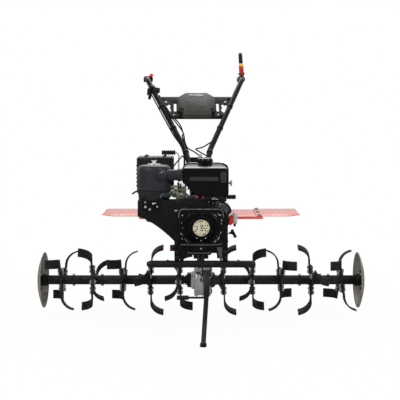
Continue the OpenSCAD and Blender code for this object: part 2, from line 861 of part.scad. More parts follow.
module muffler() {
    inset = shield_wall + shield_gap;
    deep = inset + tank_wall;
    color("dimgray") difference() {
        at_muffler() {
            slab(-muffler_front + inset, muffler_l - 2 * inset) shield_outline(inset);
            translate([0, -muffler_front + muffler_l / 2, -2 * exhaust_r])
                cylinder(r = exhaust_r, h = 3 * exhaust_r);
            for (z = [muffler_h / 4, muffler_h * 3 / 4])
                translate([0, 0, z]) along_front(-muffler_front + muffler_l - shield_wall)
                    cylinder(r = exhaust_r / 2, h = muffler_l - 2 * shield_wall);
        }
        at_muffler() translate([0, 0, tank_wall]) slab(-muffler_front + deep, muffler_l - 2 * deep)
            shield_outline(deep);
        at_muffler() translate([0, -muffler_front + muffler_l / 2, -2 * exhaust_r - overrun])
            cylinder(r = exhaust_r - tank_wall, h = 2 * exhaust_r + 2 * tank_wall);
        at_head() translate([block_half_w, -fin_l, -fin_w])
            cube([2 * block_half_w, 2 * fin_l, fin_w * 3 / 2 + seat_gap]);
    }
}
module muffler_shield() {
    louvre_pitch = (muffler_h - 2 * muffler_round) / louvre_count;
    color("black") at_muffler() difference() {
        slab(-muffler_front, muffler_l) shield_outline(0);
        translate([0, 0, -overrun])
            slab(-muffler_front + shield_wall, muffler_l - 2 * shield_wall) shield_outline(shield_wall);
        for (k = [0 : louvre_count - 1])
            translate([-muffler_w / 2 - overrun, -muffler_front + muffler_l / 4,
                muffler_round + k * louvre_pitch])
                cube([shield_wall + 2 * overrun, muffler_l / 2, louvre_w]);
    }
}
module engine_switch() {
    color("red") at_axle() translate([blower_r + seat_gap, -switch_y, switch_z - switch_h / 2])
        cube([switch_w, switch_l, switch_h]);
}
module oil_filler() {
    color("black") at_axle() difference() {
        translate([block_half_w, -filler_y, filler_z + 2 * filler_r])
            rotate([0, quarter - filler_rise, 0]) {
            translate([0, 0, -filler_r]) cylinder(r = filler_r, h = filler_l + filler_r);
            translate([0, 0, filler_l]) cylinder(r = filler_cap_r, h = filler_cap_r);
        }
        translate([0, -filler_y - filler_l, bed_z]) cube([block_half_w, 2 * filler_l, block_h]);
    }
}

// Frame
module engine_frame() {
    rail_top = bed_z - bed_plate_t;
    rail_l = bumper_reach - bumper_d / 2 - rail_back;
    color("black") at_axle() {
        for (side = [-1, 1]) both_ways(side)
            translate([rail_x - rail_w / 2, -rail_back - rail_l, rail_top - rail_h])
            difference() {
                cube([rail_w, rail_l, rail_h]);
                translate([-overrun, -overrun, -overrun])
                    cube([rail_w - rail_wall + overrun, rail_l + 2 * overrun,
                        rail_h - rail_wall + overrun]);
            }
        translate([-rail_x - rail_w / 2, -bed_plate_front, rail_top])
            cube([2 * rail_x + rail_w, bed_plate_front - rail_back, bed_plate_t]);
    }
}
module bumper_bar() {
    color("black") at_axle() difference() {
        union() {
            translate([0, -bumper_reach, bumper_z]) along_x(-bumper_l / 2)
                cylinder(d = bumper_d, h = bumper_l);
            for (side = [-1, 1])
                translate([stand_x, 0, 0]) side_plate(side * (stand_sq / 2 + ear_gap + ear_t / 2), ear_t)
                    polygon([
                        [-stand_pin_y - ear_r, stand_pin_z - ear_r], [-stand_pin_y + ear_r,
                            stand_pin_z - ear_r],
                        [-stand_pin_y + ear_r, bumper_z], [-stand_pin_y - ear_r, bumper_z]
                    ]);
            translate([0, -stand_pin_y, stand_pin_z]) along_x(stand_x - stand_sq / 2 - ear_gap - ear_t)
                cylinder(r = stand_pin_r, h = stand_sq + 2 * ear_gap + 2 * ear_t);
        }
    }
}
module guard_post() {
    foot_z = bumper_z + bumper_d / 2;
    at_axle() translate([guard_w / 2 - post_w, -bumper_reach - post_t / 2, foot_z])
        cube([post_w, post_t, guard_top_z - guard_round - foot_z]);
}
module guard_post_left() { color("black") mirror([1, 0, 0]) guard_post(); }
module guard_post_right() { color("black") guard_post(); }
module guard_top() {
    r = guard_round;
    color("black") at_axle() slab(-bumper_reach - post_t / 2, post_t) difference() {
        translate([0, guard_top_z - guard_w / 2]) polygon(round_box(guard_w, guard_w, r));
        translate([0, guard_top_z - guard_top_h - guard_w / 2])
            polygon(round_box(guard_w - 2 * post_w, guard_w, r - guard_top_h));
        translate([-guard_w, guard_top_z - r - 2 * guard_w]) square([2 * guard_w, 2 * guard_w]);
    }
}
module guard_bar() {
    color("black") at_axle()
        translate([-guard_w / 2 + post_w, -bumper_reach - post_t / 2, guard_bar_z - guard_bar_h / 2])
        cube([guard_w - 2 * post_w, post_t, guard_bar_h]);
}

// Front stand, in its standing place
module stand_leg() {
    top = [stand_x, -stand_pin_y, stand_pin_z];
    foot_top = foot_r * 2 * foot_h_share;
    low = [stand_foot_x, -foot_reach, foot_top / 2];
    lean = atan2(top[1] - low[1], top[2] - low[2]);
    joint = top - stand_sq_l * [0, sin(lean), cos(lean)];
    way = unit(low - joint);
    pedal = joint + way * ((joint[2] - pedal_z) / -way[2]);
    color("black") at_axle() {
        difference() {
            union() {
                translate(top) rotate([-lean, 0, 0]) translate([-stand_sq / 2, -stand_sq / 2, -stand_sq_l])
                    cube([stand_sq, stand_sq, stand_sq_l + stand_sq / 2]);
                rod(joint - way * stand_r, low, stand_r);
            }
            translate(top) along_x(-stand_sq) cylinder(r = stand_pin_r + running_gap, h = 2 * stand_sq);
        }
        translate([stand_foot_x, -foot_reach, 0]) cylinder(r = foot_r, h = foot_top);
        translate(pedal) rotate([0, -quarter, 0]) {
            cylinder(r = pedal_r, h = pedal_l);
            translate([0, 0, pedal_l]) cylinder(r = pedal_sleeve_r, h = pedal_sleeve_l);
        }
    }
}

// Mudguards
module mudguard() {
    at_axle() {
        translate([0, -mudguard_front, guard_plate_z]) linear_extrude(mudguard_t) polygon([
            [bell_flange_r, 0], [mudguard_split_x, 0], [mudguard_split_x, mudguard_l], [mudguard_in_x,
                mudguard_l],
            [mudguard_in_x, mudguard_front - upper_front + mudguard_lip], [bell_flange_r,
                mudguard_front - upper_front]
        ]);
        translate([bell_flange_r, -mudguard_front, guard_plate_z - mudguard_lip])
            cube([mudguard_split_x - bell_flange_r, mudguard_t, mudguard_lip]);
        translate([upper_half_w, -upper_front, guard_plate_z - bracket_t])
            cube([bracket_w, upper_front + upper_back, bracket_t]);
    }
}
module mudguard_wing() {
    from = mudguard_split_x - wing_overlap;
    at_axle() translate([0, -mudguard_front, guard_plate_z + mudguard_t]) linear_extrude(mudguard_t)
        polygon([
        [from, 0], [wing_x - wing_cut, 0], [wing_x, wing_cut], [wing_x, mudguard_l], [from, mudguard_l]
    ]);
}
module mudguard_left() { color("red") mirror([1, 0, 0]) mudguard(); }
module mudguard_right() { color("red") mudguard(); }
module mudguard_wing_left() { color("red") mirror([1, 0, 0]) mudguard_wing(); }
module mudguard_wing_right() { color("red") mudguard_wing(); }

// Levers on the gearbox
module gear_lever() {
    foot_z = upper_top_z - 2 * lever_bend_r;
    color("black") at_axle() {
        bent_rod([
            [-upper_half_w, gear_lever_y, foot_z], [gear_lever_x, gear_lever_y, foot_z],
            [gear_lever_x, gear_lever_y, gear_lever_z], [gear_grip_x, gear_lever_y, gear_lever_z]
        ], lever_r, lever_bend_r);
        translate([gear_grip_x, gear_lever_y, gear_lever_z]) rotate([0, -quarter, 0])
            ribbed_grip(lever_grip_r, lever_grip_l);
    }
}
module reverse_lever() {
    foot = [upper_half_w, reverse_lever_y, upper_top_z - 2 * lever_bend_r];
    elbow = upper_half_w + 2 * lever_bend_r;
    color("black") at_axle() {
        bent_rod([
            foot, [elbow, reverse_lever_y, foot[2]], [elbow, reverse_lever_y,
                reverse_lever_z + 2 * lever_bend_r],
            [reverse_grip_x, reverse_lever_y, reverse_lever_z + 2 * lever_bend_r]
        ], lever_r, lever_bend_r);
        translate([0, reverse_lever_y, reverse_lever_z + 2 * lever_bend_r])
            along_x(reverse_grip_x) ribbed_grip(lever_grip_r, reverse_grip_l);
    }
}

// Hitch: a square socket with a cross pin's bore, on a plate behind the gearbox's neck
module hitch() {
    color("black") at_axle() difference() {
        union() {
            translate([-hitch_outer / 2, hitch_y - hitch_outer / 2, hitch_z])
                cube([hitch_outer, hitch_outer, hitch_h]);
            translate([-hitch_inner / 2, neck_back, hitch_z + hitch_h / 4])
                cube([hitch_inner, hitch_y - hitch_outer / 2 - neck_back, hitch_h]);
            translate([-hitch_plate_w / 2, neck_back, hitch_z + hitch_h / 4])
                cube([hitch_plate_w, hitch_plate_t, hitch_h]);
        }
        translate([-hitch_inner / 2, hitch_y - hitch_inner / 2, hitch_z - overrun])
            cube([hitch_inner, hitch_inner, hitch_h + 2 * overrun]);
        translate([0, hitch_y, hitch_pin_z]) along_x(-hitch_outer)
            cylinder(r = hitch_pin_r, h = 2 * hitch_outer);
    }
}

// Handlebar column
module swivel_base() {
    color("black") at_handle() translate([0, 0, upper_top_z]) {
        cylinder(r = swivel_r, h = swivel_base_h);
        cylinder(r = swivel_pin_r, h = swivel_base_h + swivel_head_h);
    }
}
module swivel_head() {
    from = upper_top_z + swivel_base_h + seat_gap;
    color("black") at_handle() difference() {
        union() {
            translate([0, 0, from]) cylinder(r = swivel_r, h = swivel_head_h);
            side_plate(0, 2 * lug_half_w) polygon([
                [tilt_y - tilt_r, from + swivel_head_h / 2], [tilt_y + tilt_r, from + swivel_head_h / 2],
                [tilt_y + tilt_r, tilt_z], [tilt_y - tilt_r, tilt_z]
            ]);
            translate([0, tilt_y, tilt_z]) along_x(-lug_half_w) cylinder(r = tilt_r, h = 2 * lug_half_w);
        }
        translate([0, 0, from - overrun])
            cylinder(r = swivel_pin_r + running_gap, h = swivel_head_h + overrun + seat_gap);
        translate([0, tilt_y, tilt_z]) along_x(-lug_half_w - overrun)
            cylinder(r = tilt_bolt_r + running_gap, h = 2 * (lug_half_w + overrun));
    }
}

// Handlebar
module handle_bracket() {
    cheek_x = lug_half_w + seat_gap + cheek_t / 2;
    color("black") at_handle() {
        for (side = [-1, 1]) both_ways(side) {
            translate([0, tilt_y, tilt_z]) along_x(lug_half_w + seat_gap)
                cylinder(r = tooth_disc_r, h = cheek_t);
            side_plate(cheek_x, cheek_t) polygon([
                [tilt_y - tilt_r / 2, tilt_z], [tilt_y + tilt_r / 2, tilt_z - tilt_r / 2],
                [v_low_y + 2 * handle_r, v_low_z], [v_low_y, v_low_z + 2 * handle_r]
            ]);
        }
        translate([0, tilt_y, tilt_z]) along_x(-cheek_x - cheek_t)
            cylinder(r = tilt_bolt_r, h = 2 * (cheek_x + cheek_t));
        for (side = [-1, 1]) both_ways(side) translate([0, tilt_y, tilt_z])
            along_x(cheek_x + cheek_t / 2) cylinder(r = tilt_bolt_head_r, h = tilt_bolt_head_t, $fn = 6);
    }
}
module handle_tube() {
    path = [handle_low, handle_knee, handle_bend, handle_end];
    bore = [handle_low - low_way * overrun, handle_knee, handle_bend, handle_end + [0, overrun, 0]];
    difference() {
        bent_rod(path, handle_r, handle_bend_r);
        bent_rod(bore, handle_r - handle_wall, handle_bend_r);
    }
}
module handle_tube_left() { color("black") at_handle() mirror([1, 0, 0]) handle_tube(); }
module handle_tube_right() { color("black") at_handle() handle_tube(); }
module grip(side) {
    at_handle() both_ways(side) translate([grip_half_w, grip_end_y, grip_z]) rotate([quarter, 0, 0])
        difference() {
        cylinder(r = grip_r, h = grip_l);
        translate([0, 0, grip_overhang]) cylinder(r = handle_r + running_gap, h = grip_l);
    }
}
module grip_left() { color("black") grip(-1); }
module grip_right() { color("black") grip(1); }

// A frame on the handlebar's slope: x across, y up the slope, z out of the front
module on_slope(share) {
    at = on_handle(share);
    at_handle() translate([0, at[1], at[2]]) rotate([handle_rise, 0, 0]) children();
}
module panel_plate() {
    low = on_handle(panel_low_share);
    high = on_handle(panel_high_share);
    l = norm([high[1] - low[1], high[2] - low[2]]);
    spread = atan2(high[0] - low[0], l);
    edge = (handle_r + seat_gap) / cos(spread);
    low_x = low[0] - edge;
    high_x = high[0] - edge;
    color("dimgray") on_slope(panel_low_share) translate([0, 0, -panel_t / 2]) difference() {
        linear_extrude(panel_t) polygon([[-low_x, 0], [low_x, 0], [high_x, l], [-high_x, l]]);
        for (side = [-1, 1]) both_ways(side) translate([0, 0, -overrun]) {
            translate([panel_cover_w / 2 + panel_slot_w, (l - panel_slot_l) / 2, 0])
                cube([panel_slot_w, panel_slot_l, panel_t + 2 * overrun]);
        }
    }
}
module panel_cover() {
    side = panel_cover_w / 2;
    top = panel_cover_top_w / 2;
    foot = panel_cover_low_w / 2;
    from = panel_cover_low;
    to = from + panel_cover_l;
    rise = [for (share = panel_cover_low_shares) from + panel_cover_l * share];
    shoulder = from + panel_cover_l * panel_cover_high_share;
    color("dimgray") on_slope(panel_low_share) translate([0, 0, panel_t / 2])
        linear_extrude(panel_cover_h) polygon([
            [-foot, from], [foot, from], [foot, rise[0]], [side, rise[1]], [side, shoulder],
            [top, to], [-top, to], [-side, shoulder], [-side, rise[1]], [-foot, rise[0]]
        ]);
}

// Controls
module clutch_lever() {
    clamp_y = handle_bend_y + clutch_reach;
    pivot_z = handle_r + clutch_lever_w;
    color("firebrick") at_handle() translate([grip_half_w, clamp_y, grip_z]) {
        rotate([-quarter, 0, 0]) translate([0, 0, -clamp_l]) difference() {
            cylinder(r = clamp_r, h = clamp_l);
            translate([0, 0, -overrun]) cylinder(r = handle_r + running_gap, h = clamp_l + 2 * overrun);
        }
        translate([0, -clamp_l / 2, pivot_z]) rotate([-clutch_lever_tilt, 0, 0]) {
            translate([-clutch_lever_t / 2, -clutch_lever_w / 2, -clutch_lever_w / 2])
                cube([clutch_lever_t, clutch_lever_w,
                    clutch_lever_l - clutch_sleeve_l + clutch_lever_w / 2]);
            translate([0, 0, clutch_lever_l - clutch_sleeve_l])
                cylinder(r = clutch_sleeve_r, h = clutch_sleeve_l);
        }
    }
}
module on_tube(share, side) {
    at = on_handle(share);
    turn = [0, acos(clamped(high_way[2])), atan2(high_way[1], high_way[0])];
    at_handle() both_ways(side) translate(at) rotate(turn) children();
}
module tube_clamp(l) {
    difference() {
        cylinder(r = clamp_r, h = l);
        translate([0, 0, -overrun]) cylinder(r = handle_r + running_gap, h = l + 2 * overrun);
    }
}
module throttle_lever() {
    color("black") on_tube(throttle_share, -1) {
        tube_clamp(clamp_l);
        translate([-handle_r, 0, clamp_l / 2]) rotate([0, -quarter, 0]) {
            cylinder(r = throttle_r, h = throttle_t);
            translate([-clutch_lever_t / 2, -throttle_arm_l, throttle_t / 2])
                cube([clutch_lever_t, throttle_arm_l, clutch_lever_t]);
        }
    }
}
module stop_switch() {
    clamp_y = handle_bend_y + clutch_reach;
    color("black") at_handle() mirror([1, 0, 0]) translate([grip_half_w, clamp_y, grip_z]) {
        difference() {
            translate([-stop_inner, -clamp_l, -stop_drop]) cube([stop_inner + stop_w / 2, stop_l, stop_h]);
            rotate([quarter, 0, 0]) cylinder(r = handle_r + running_gap, h = clamp_l + overrun);
        }
        translate([-stop_button_x, -clamp_l + stop_l / 2, stop_h - stop_drop])
            cylinder(r = stop_button_r, h = stop_button_h);
    }
}

// Cables, each a round line on its own route
module handle_cables() {
    left_top = on_handle(cable_high_shares[0]);
    right_top = on_handle(cable_high_shares[1]);
    low = on_handle(cable_low_share);
    lift = [cable_rise, 0, 0];
    color("black") at_handle() {
        mirror([1, 0, 0]) bent_rod([left_top + lift, handle_knee + lift, low + lift], cable_r,
            handle_bend_r);
        bent_rod([right_top + lift, handle_knee + lift, low + lift], cable_r, handle_bend_r);
    }
}
module column_cables() {
    top = on_handle(cable_low_share) + [cable_rise, 0, 0] - low_way * cable_joint_gap;
    low = [cable_clip_x, cable_clip_y, cable_clip_z];
    color("black") at_handle() for (side = [-1, 1]) both_ways(side)
        bent_rod([top, [cable_clip_x + cable_bend_r, v_low_y, tilt_z + tilt_r], low], cable_r,
            cable_bend_r);
}
module engine_cables() {
    color("black") for (side = [-1, 1]) {
        clip = [
            swivel_x + side * cable_clip_x * cos(handle_yaw) + cable_clip_y * sin(handle_yaw),
            swivel_y + side * cable_clip_x * sin(handle_yaw) - cable_clip_y * cos(handle_yaw),
            cable_clip_z
        ];
        at_axle() bent_rod([
            clip, [clip[0], 0, cable_top_z], [side * cable_end_x, -cable_end_y, cable_top_z],
            [side * cable_end_x, -cable_end_y, bed_z + block_h + seat_gap]
        ], cable_r, cable_bend_r);
    }
}

tine_gang_left_inner();
tine_gang_left_outer();
tine_gang_right_inner();
tine_gang_right_outer();
guard_disc_left();
guard_disc_right();
drive_axle();
gearbox();
axle_cover_left();
axle_cover_right();
clutch_housing();
crankcase();
cylinder_barrel();  // cylinder
blower_housing();
starter_cover();
starter_screen();
starter_grip();
fuel_tank();
fuel_cap();
air_cleaner_bowl();
air_cleaner_lid();
air_snorkel();
carburettor();
muffler();
muffler_shield();
engine_switch();
oil_filler();
engine_frame();
bumper_bar();
guard_post_left();
guard_post_right();
guard_bar();
guard_top();
mudguard_left();
mudguard_right();
mudguard_wing_left();
mudguard_wing_right();
gear_lever();
reverse_lever();
hitch();
stand_leg();
swivel_base();
swivel_head();
handle_bracket();
handle_tube_left();
handle_tube_right();
grip_left();
grip_right();
panel_plate();
panel_cover();
clutch_lever();
throttle_lever();
stop_switch();
handle_cables();
column_cables();
engine_cables();
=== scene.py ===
"""Looks of a walk-behind tiller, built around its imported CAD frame."""

import json
import math

import bpy
from mathutils import Matrix, Vector

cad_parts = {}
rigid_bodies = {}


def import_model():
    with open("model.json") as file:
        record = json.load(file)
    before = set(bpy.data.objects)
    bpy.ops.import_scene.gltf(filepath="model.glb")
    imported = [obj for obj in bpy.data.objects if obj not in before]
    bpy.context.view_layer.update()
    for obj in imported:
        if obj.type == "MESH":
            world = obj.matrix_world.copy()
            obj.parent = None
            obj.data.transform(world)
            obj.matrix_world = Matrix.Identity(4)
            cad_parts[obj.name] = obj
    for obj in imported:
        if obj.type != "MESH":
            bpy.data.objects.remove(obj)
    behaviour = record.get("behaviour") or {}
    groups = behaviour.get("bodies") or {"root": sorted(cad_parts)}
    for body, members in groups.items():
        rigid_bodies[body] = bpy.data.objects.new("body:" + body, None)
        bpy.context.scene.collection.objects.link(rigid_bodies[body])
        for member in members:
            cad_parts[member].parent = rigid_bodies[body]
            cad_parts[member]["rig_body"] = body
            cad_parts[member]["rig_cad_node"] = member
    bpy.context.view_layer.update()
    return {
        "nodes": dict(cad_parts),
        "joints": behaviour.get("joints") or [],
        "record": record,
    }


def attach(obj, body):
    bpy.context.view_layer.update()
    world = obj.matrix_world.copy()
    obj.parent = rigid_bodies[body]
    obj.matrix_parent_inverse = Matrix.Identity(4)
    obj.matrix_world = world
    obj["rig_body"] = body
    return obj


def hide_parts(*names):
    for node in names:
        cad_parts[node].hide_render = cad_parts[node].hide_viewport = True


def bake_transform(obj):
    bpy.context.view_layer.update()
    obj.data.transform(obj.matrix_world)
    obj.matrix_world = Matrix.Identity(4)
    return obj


bl_info = {
    "name": "Walk-behind Tiller",
    "version": (1, 0, 0),
    "blender": (4, 5, 0),
    "location": "View3D > Sidebar > Tiller",
    "description": "Dresses a packed walk-behind tiller with its finishes and small pieces",
    "category": "Object",
}

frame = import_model()
JOINTS = {joint["name"]: joint for joint in frame["joints"]}
AXLE = Vector(JOINTS["rotor_spin"]["pos_m"])
SWIVEL = Vector(JOINTS["handlebar_swivel"]["pos_m"])
TILT = Vector(JOINTS["handlebar_tilt"]["pos_m"])
TILT_AXIS = Vector(JOINTS["handlebar_tilt"]["axis"])
HANDLE_YAW = math.atan2(TILT_AXIS.y, TILT_AXIS.x)
MM = 0.001
FULL_TURN = 2 * math.pi
X_AXIS = Vector((1, 0, 0))
Y_AXIS = Vector((0, 1, 0))
Z_AXIS = Vector((0, 0, 1))

# The angle by which a tine's tip trails its flange
TRAIL = 36.13
# The tine flanges: place along the axle in millimetres, turn in degrees, side of the first bend
FLANGES = (
    (-590, -7, 1), (-459, TRAIL + 18 - 90, 1), (-332, -7, 1), (-217, TRAIL - 12, 1), (-93, TRAIL + 18, 1),
    (93, TRAIL - 12, 1), (216, TRAIL + 18, 1), (340, -4, -1), (470, TRAIL - 12, -1), (593, -4, 1),
)
# Ends of the handle tubes' slope in millimetres, as in the CAD source
TUBE_LOW = (33, 58, 612)
GRIP_X = 230
GRIP_Z = 1010
TUBE_BEND = (GRIP_X, 585, GRIP_Z)
# Half the distance between the tubes, by share of the slope, and the share at the panel's lower edge
TUBE_ACROSS = ((0, 33), (0.2, 56), (1, GRIP_X))
PANEL_LOW = 0.55
# In millimetres: the bores round the handle tubes, the crank's height and the starter screen's middle
TUBE_BORE = 12.1
CRANK_Z = 426
SCREEN_X = 1
SCREEN_Z = 423


def place(x, y, z):
    """A point given in millimetres: x across, y behind the axle, z above the floor."""
    return Vector((x * MM, AXLE.y + y * MM, z * MM))


def upright(outline, y, x=0, z=0):
    """An outline's pairs of x and z as points across the machine, moved by x and z, in millimetres."""
    return [place(x + a, y, z + b) for a, b in outline]


def clear():
    """Object mode, with nothing selected."""
    if bpy.context.mode != "OBJECT":
        bpy.ops.object.mode_set(mode="OBJECT")
    bpy.ops.object.select_all(action="DESELECT")


def pick(*objs):
    """Selects these objects and makes the first one active."""
    clear()
    for obj in objs:
        obj.select_set(True)
    bpy.context.view_layer.objects.active = objs[0]
    return objs[0]


def settle(name):
    """Names the active object and puts its place into its mesh."""
    obj = bpy.context.active_object
    obj.name = name
    obj.data.name = name
    return fixed(obj)


def fixed(obj):
    """Puts an object's place into its mesh."""
    pick(obj)
    bpy.ops.object.transform_apply(location=True, rotation=True, scale=True)
    return obj


def moved(obj, where):
    """Moves an object by a matrix."""
    obj.matrix_world = where
    return fixed(obj)


def box(name, low, high):
    """A box between two corners."""
    clear()
    low, high = Vector(low), Vector(high)
    bpy.ops.mesh.primitive_cube_add(size=1, location=(low + high) / 2, scale=high - low)
    return settle(name)


def rod(name, start, end, radius, sides=24, end_radius=None):
    """A round or many-sided bar between two points."""
    clear()
    start, end = Vector(start), Vector(end)
    way = end - start
    turn = way.to_track_quat("Z", "Y").to_euler()
    bpy.ops.mesh.primitive_cone_add(
        vertices=sides,
        radius1=radius,
        radius2=radius if end_radius is None else end_radius,
        depth=way.length,
        location=(start + end) / 2,
        rotation=turn,
    )
    return settle(name)


def chain(points):
    """A mesh of one line of edges through the points, left in edit mode."""
    clear()
    bpy.ops.mesh.primitive_plane_add(size=1, location=(0, 0, 0))
    bpy.ops.object.mode_set(mode="EDIT")
    bpy.ops.mesh.select_all(action="SELECT")
    bpy.ops.mesh.merge(type="CENTER")
    bpy.ops.transform.translate(value=points[0])
    for here, there in zip(points, points[1:]):
        bpy.ops.mesh.extrude_region_move(TRANSFORM_OT_translate={"value": there - here})


def tidy_mesh():
    """Merges doubles and turns the faces outwards, in edit mode."""
    bpy.ops.mesh.select_all(action="SELECT")
    bpy.ops.mesh.remove_doubles(threshold=0.00001)
    bpy.ops.mesh.normals_make_consistent(inside=False)
    bpy.ops.object.mode_set(mode="OBJECT")


def lathe(name, profile, origin, axis, steps=48):
    """A turned shape: the profile's pairs are radius and distance along the axis, in millimetres."""
    axis = Vector(axis).normalized()
    side = axis.orthogonal().normalized()
    origin = Vector(origin)
    chain([origin + (side * r + axis * h) * MM for r, h in profile])
    bpy.ops.mesh.select_all(action="SELECT")
    bpy.ops.mesh.spin(steps=steps, angle=FULL_TURN, center=origin, axis=axis)
    tidy_mesh()
    return settle(name)


def slab(name, outline, thrust):
    """A flat outline drawn out along a vector."""
    chain([Vector(p) for p in outline])
    bpy.ops.mesh.select_all(action="SELECT")
    bpy.ops.mesh.edge_face_add()
    bpy.ops.mesh.extrude_region_move(TRANSFORM_OT_translate={"value": Vector(thrust)})
    tidy_mesh()
    return settle(name)


def rounded(points, bend, steps=6):
    """The points of a path, with an arc of radius bend at each inner corner."""
    out = [points[0]]
    for before, here, after in zip(points, points[1:], points[2:]):
        come = (before - here).normalized()
        go = (after - here).normalized()
        half = come.angle(go) / 2
        cut = min(bend / math.tan(half), 0.49 * min((before - here).length, (after - here).length))
        centre = here + (come + go).normalized() * math.hypot(cut, cut * math.tan(half))
        first = here + come * cut - centre
        over = -come
        for k in range(steps + 1):
            a = (math.pi - 2 * half) * k / steps
            out.append(centre + first * math.cos(a) + over * first.length * math.sin(a))
    return out + [points[-1]]


def tube(name, points, radius, sides=6):
    """A round tube along a path."""
    clear()
    bpy.ops.curve.primitive_bezier_curve_add(location=(0, 0, 0))
    obj = bpy.context.active_object
    curve = obj.data
    curve.splines.clear()
    spline = curve.splines.new("POLY")
    spline.points.add(len(points) - 1)
    for knot, point in zip(spline.points, points):
        knot.co = (*point, 1)
    curve.dimensions = "3D"
    curve.bevel_depth = radius
    curve.bevel_resolution = sides
    curve.use_fill_caps = True
    bpy.ops.object.convert(target="MESH")
    return settle(name)


def modify(obj, kind, **values):
    """Adds a modifier, sets its values and applies it."""
    pick(obj)
    bpy.ops.object.modifier_add(type=kind)
    modifier = obj.modifiers[-1]
    for key, value in values.items():
        setattr(modifier, key, value)
    bpy.ops.object.modifier_apply(modifier=modifier.name)
    return obj


def soften(obj, width, segments=3, angle=35):
    """Rounds the sharp edges and shades the rest smooth."""
    modify(
        obj,
        "BEVEL",
        width=width,
        segments=segments,
        limit_method="ANGLE",
        angle_limit=math.radians(angle),
        harden_normals=False,
    )
    return shade(obj, angle)


def softened(pieces, width, segments=3):
    """Several pieces, each with its edges rounded."""
    return [soften(piece, width, segments) for piece in pieces]


def shade(obj, angle=35):
    """Smooth shading, with edges over the angle left sharp."""
    pick(obj)
    bpy.ops.object.shade_smooth_by_angle(angle=math.radians(angle))
    return obj


def cut(obj, *tools):
    """Takes the tools away from the object, and deletes them."""
    for tool in tools:
        modify(obj, "BOOLEAN", object=tool, operation="DIFFERENCE", solver="EXACT")
        pick(tool)
        bpy.ops.object.delete()
    return obj


def join(name, objs):
    """One object from several."""
    pick(*objs)
    if len(objs) > 1:
        bpy.ops.object.join()
    return settle(name)


def repeat(name, obj, places):
    """Copies of an object at each place, joined; the first object is used up."""
    copies = []
    for where in places:
        pick(obj)
        bpy.ops.object.duplicate()
        copies.append(moved(bpy.context.active_object, where))
    pick(obj)
    bpy.ops.object.delete()
    return join(name, copies)


def facing(point, way):
    """A matrix that puts an object at a point with its Z along a direction."""
    return Matrix.Translation(point) @ Vector(way).to_track_quat("Z", "Y").to_matrix().to_4x4()


def dress(obj, finish, *nodes, body="chassis", slot=None):
    """Gives a piece its finish and body, and hides the CAD nodes it stands for; the slot is not used."""
    obj.data.materials.clear()
    obj.data.materials.append(MATERIALS[finish])
    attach(obj, body)
    if nodes:
        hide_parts(*nodes)
    return obj


def node_body(node):
    """The body that a CAD node belongs to."""
    return frame["nodes"][node]["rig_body"]


def node_slot(node):
    """The record's material slot of a CAD node."""
    for part in frame["record"]["subparts"]:
        if part["node"] == node:
            return part["material_slot"]
    raise ValueError("no slot for " + node)


def refined(node, finish, width, segments=2, angle=40):
    """A copy of a CAD node with merged faces and rounded edges, which stands for it."""
    pick(frame["nodes"][node])
    bpy.ops.object.duplicate()
    obj = bpy.context.active_object
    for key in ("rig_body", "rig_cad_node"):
        del obj[key]
    bpy.ops.object.parent_clear(type="CLEAR_KEEP_TRANSFORM")
    bpy.ops.object.mode_set(mode="EDIT")
    bpy.ops.mesh.select_all(action="SELECT")
    bpy.ops.mesh.remove_doubles(threshold=0.00002)
    bpy.ops.mesh.dissolve_limited(angle_limit=math.radians(1))
    bpy.ops.object.mode_set(mode="OBJECT")
    obj.name = node + "_piece"
    soften(obj, width, segments, angle)
    return dress(obj, finish, node, body=node_body(node), slot=node_slot(node))


def turned(point, deg):
    """A point of the rotor's own frame, turned about the axle: x across, y back, z up, in millimetres."""
    x, y, z = point
    a = math.radians(deg)
    return AXLE + Vector((x, y * math.cos(a) - z * math.sin(a), y * math.sin(a) + z * math.cos(a))) * MM


def around(count, shift=0.5):
    """Angles spread evenly over a full turn."""
    return [FULL_TURN * (k + shift) / count for k in range(count)]


def bolt_circle(x, radius, count):
    """Points spread evenly round the axle's line, x along it, in millimetres."""
    return [turned((x, radius * math.cos(a), radius * math.sin(a)), 0) for a in around(count)]


def handle(x, y, z):
    """A point of the handlebar's frame in millimetres: y behind the swivel, z above the floor."""
    c, s = math.cos(HANDLE_YAW), math.sin(HANDLE_YAW)
    return Vector((SWIVEL.x + (x * c - y * s) * MM, SWIVEL.y + (x * s + y * c) * MM, z * MM))


def handle_way(x, y, z):
    """A step in the handlebar's frame, given in millimetres."""
    return handle(x, y, z) - handle(0, 0, 0)


def on_tube(share, side, lift=(0, 0, 0)):
    """A point on the left (-1) or right (1) handle tube, by its share of the slope."""
    _, y, z = (a + share * (b - a) for a, b in zip(TUBE_LOW, TUBE_BEND))
    for (low, x0), (high, x1) in zip(TUBE_ACROSS, TUBE_ACROSS[1:]):
        if share <= high:
            break
    x = x0 + (x1 - x0) * (share - low) / (high - low)
    return handle(side * (x + lift[0]), y + lift[1], z + lift[2])


def slope(x, y, z):
    """A point on the handlebar's slope: x across, y up from the panel's lower edge, z out of the front."""
    rise = math.atan2(TUBE_BEND[2] - TUBE_LOW[2], TUBE_BEND[1] - TUBE_LOW[1])
    _, y0, z0 = (a + PANEL_LOW * (b - a) for a, b in zip(TUBE_LOW, TUBE_BEND))
    c, s = math.cos(rise), math.sin(rise)
    return handle(x, y0 + y * c - z * s, z0 + y * s + z * c)


def rim(w, h, r, steps=6):
    """The corner points of a rounded box outline about zero."""
    out = []
    for cx, cy, first in ((1, 1, 0), (-1, 1, 1), (-1, -1, 2), (1, -1, 3)):
        for k in range(steps + 1):
            a = math.pi / 2 * (first + k / steps)
            out.append((cx * (w / 2 - r) + r * math.cos(a), cy * (h / 2 - r) + r * math.sin(a)))
    return out


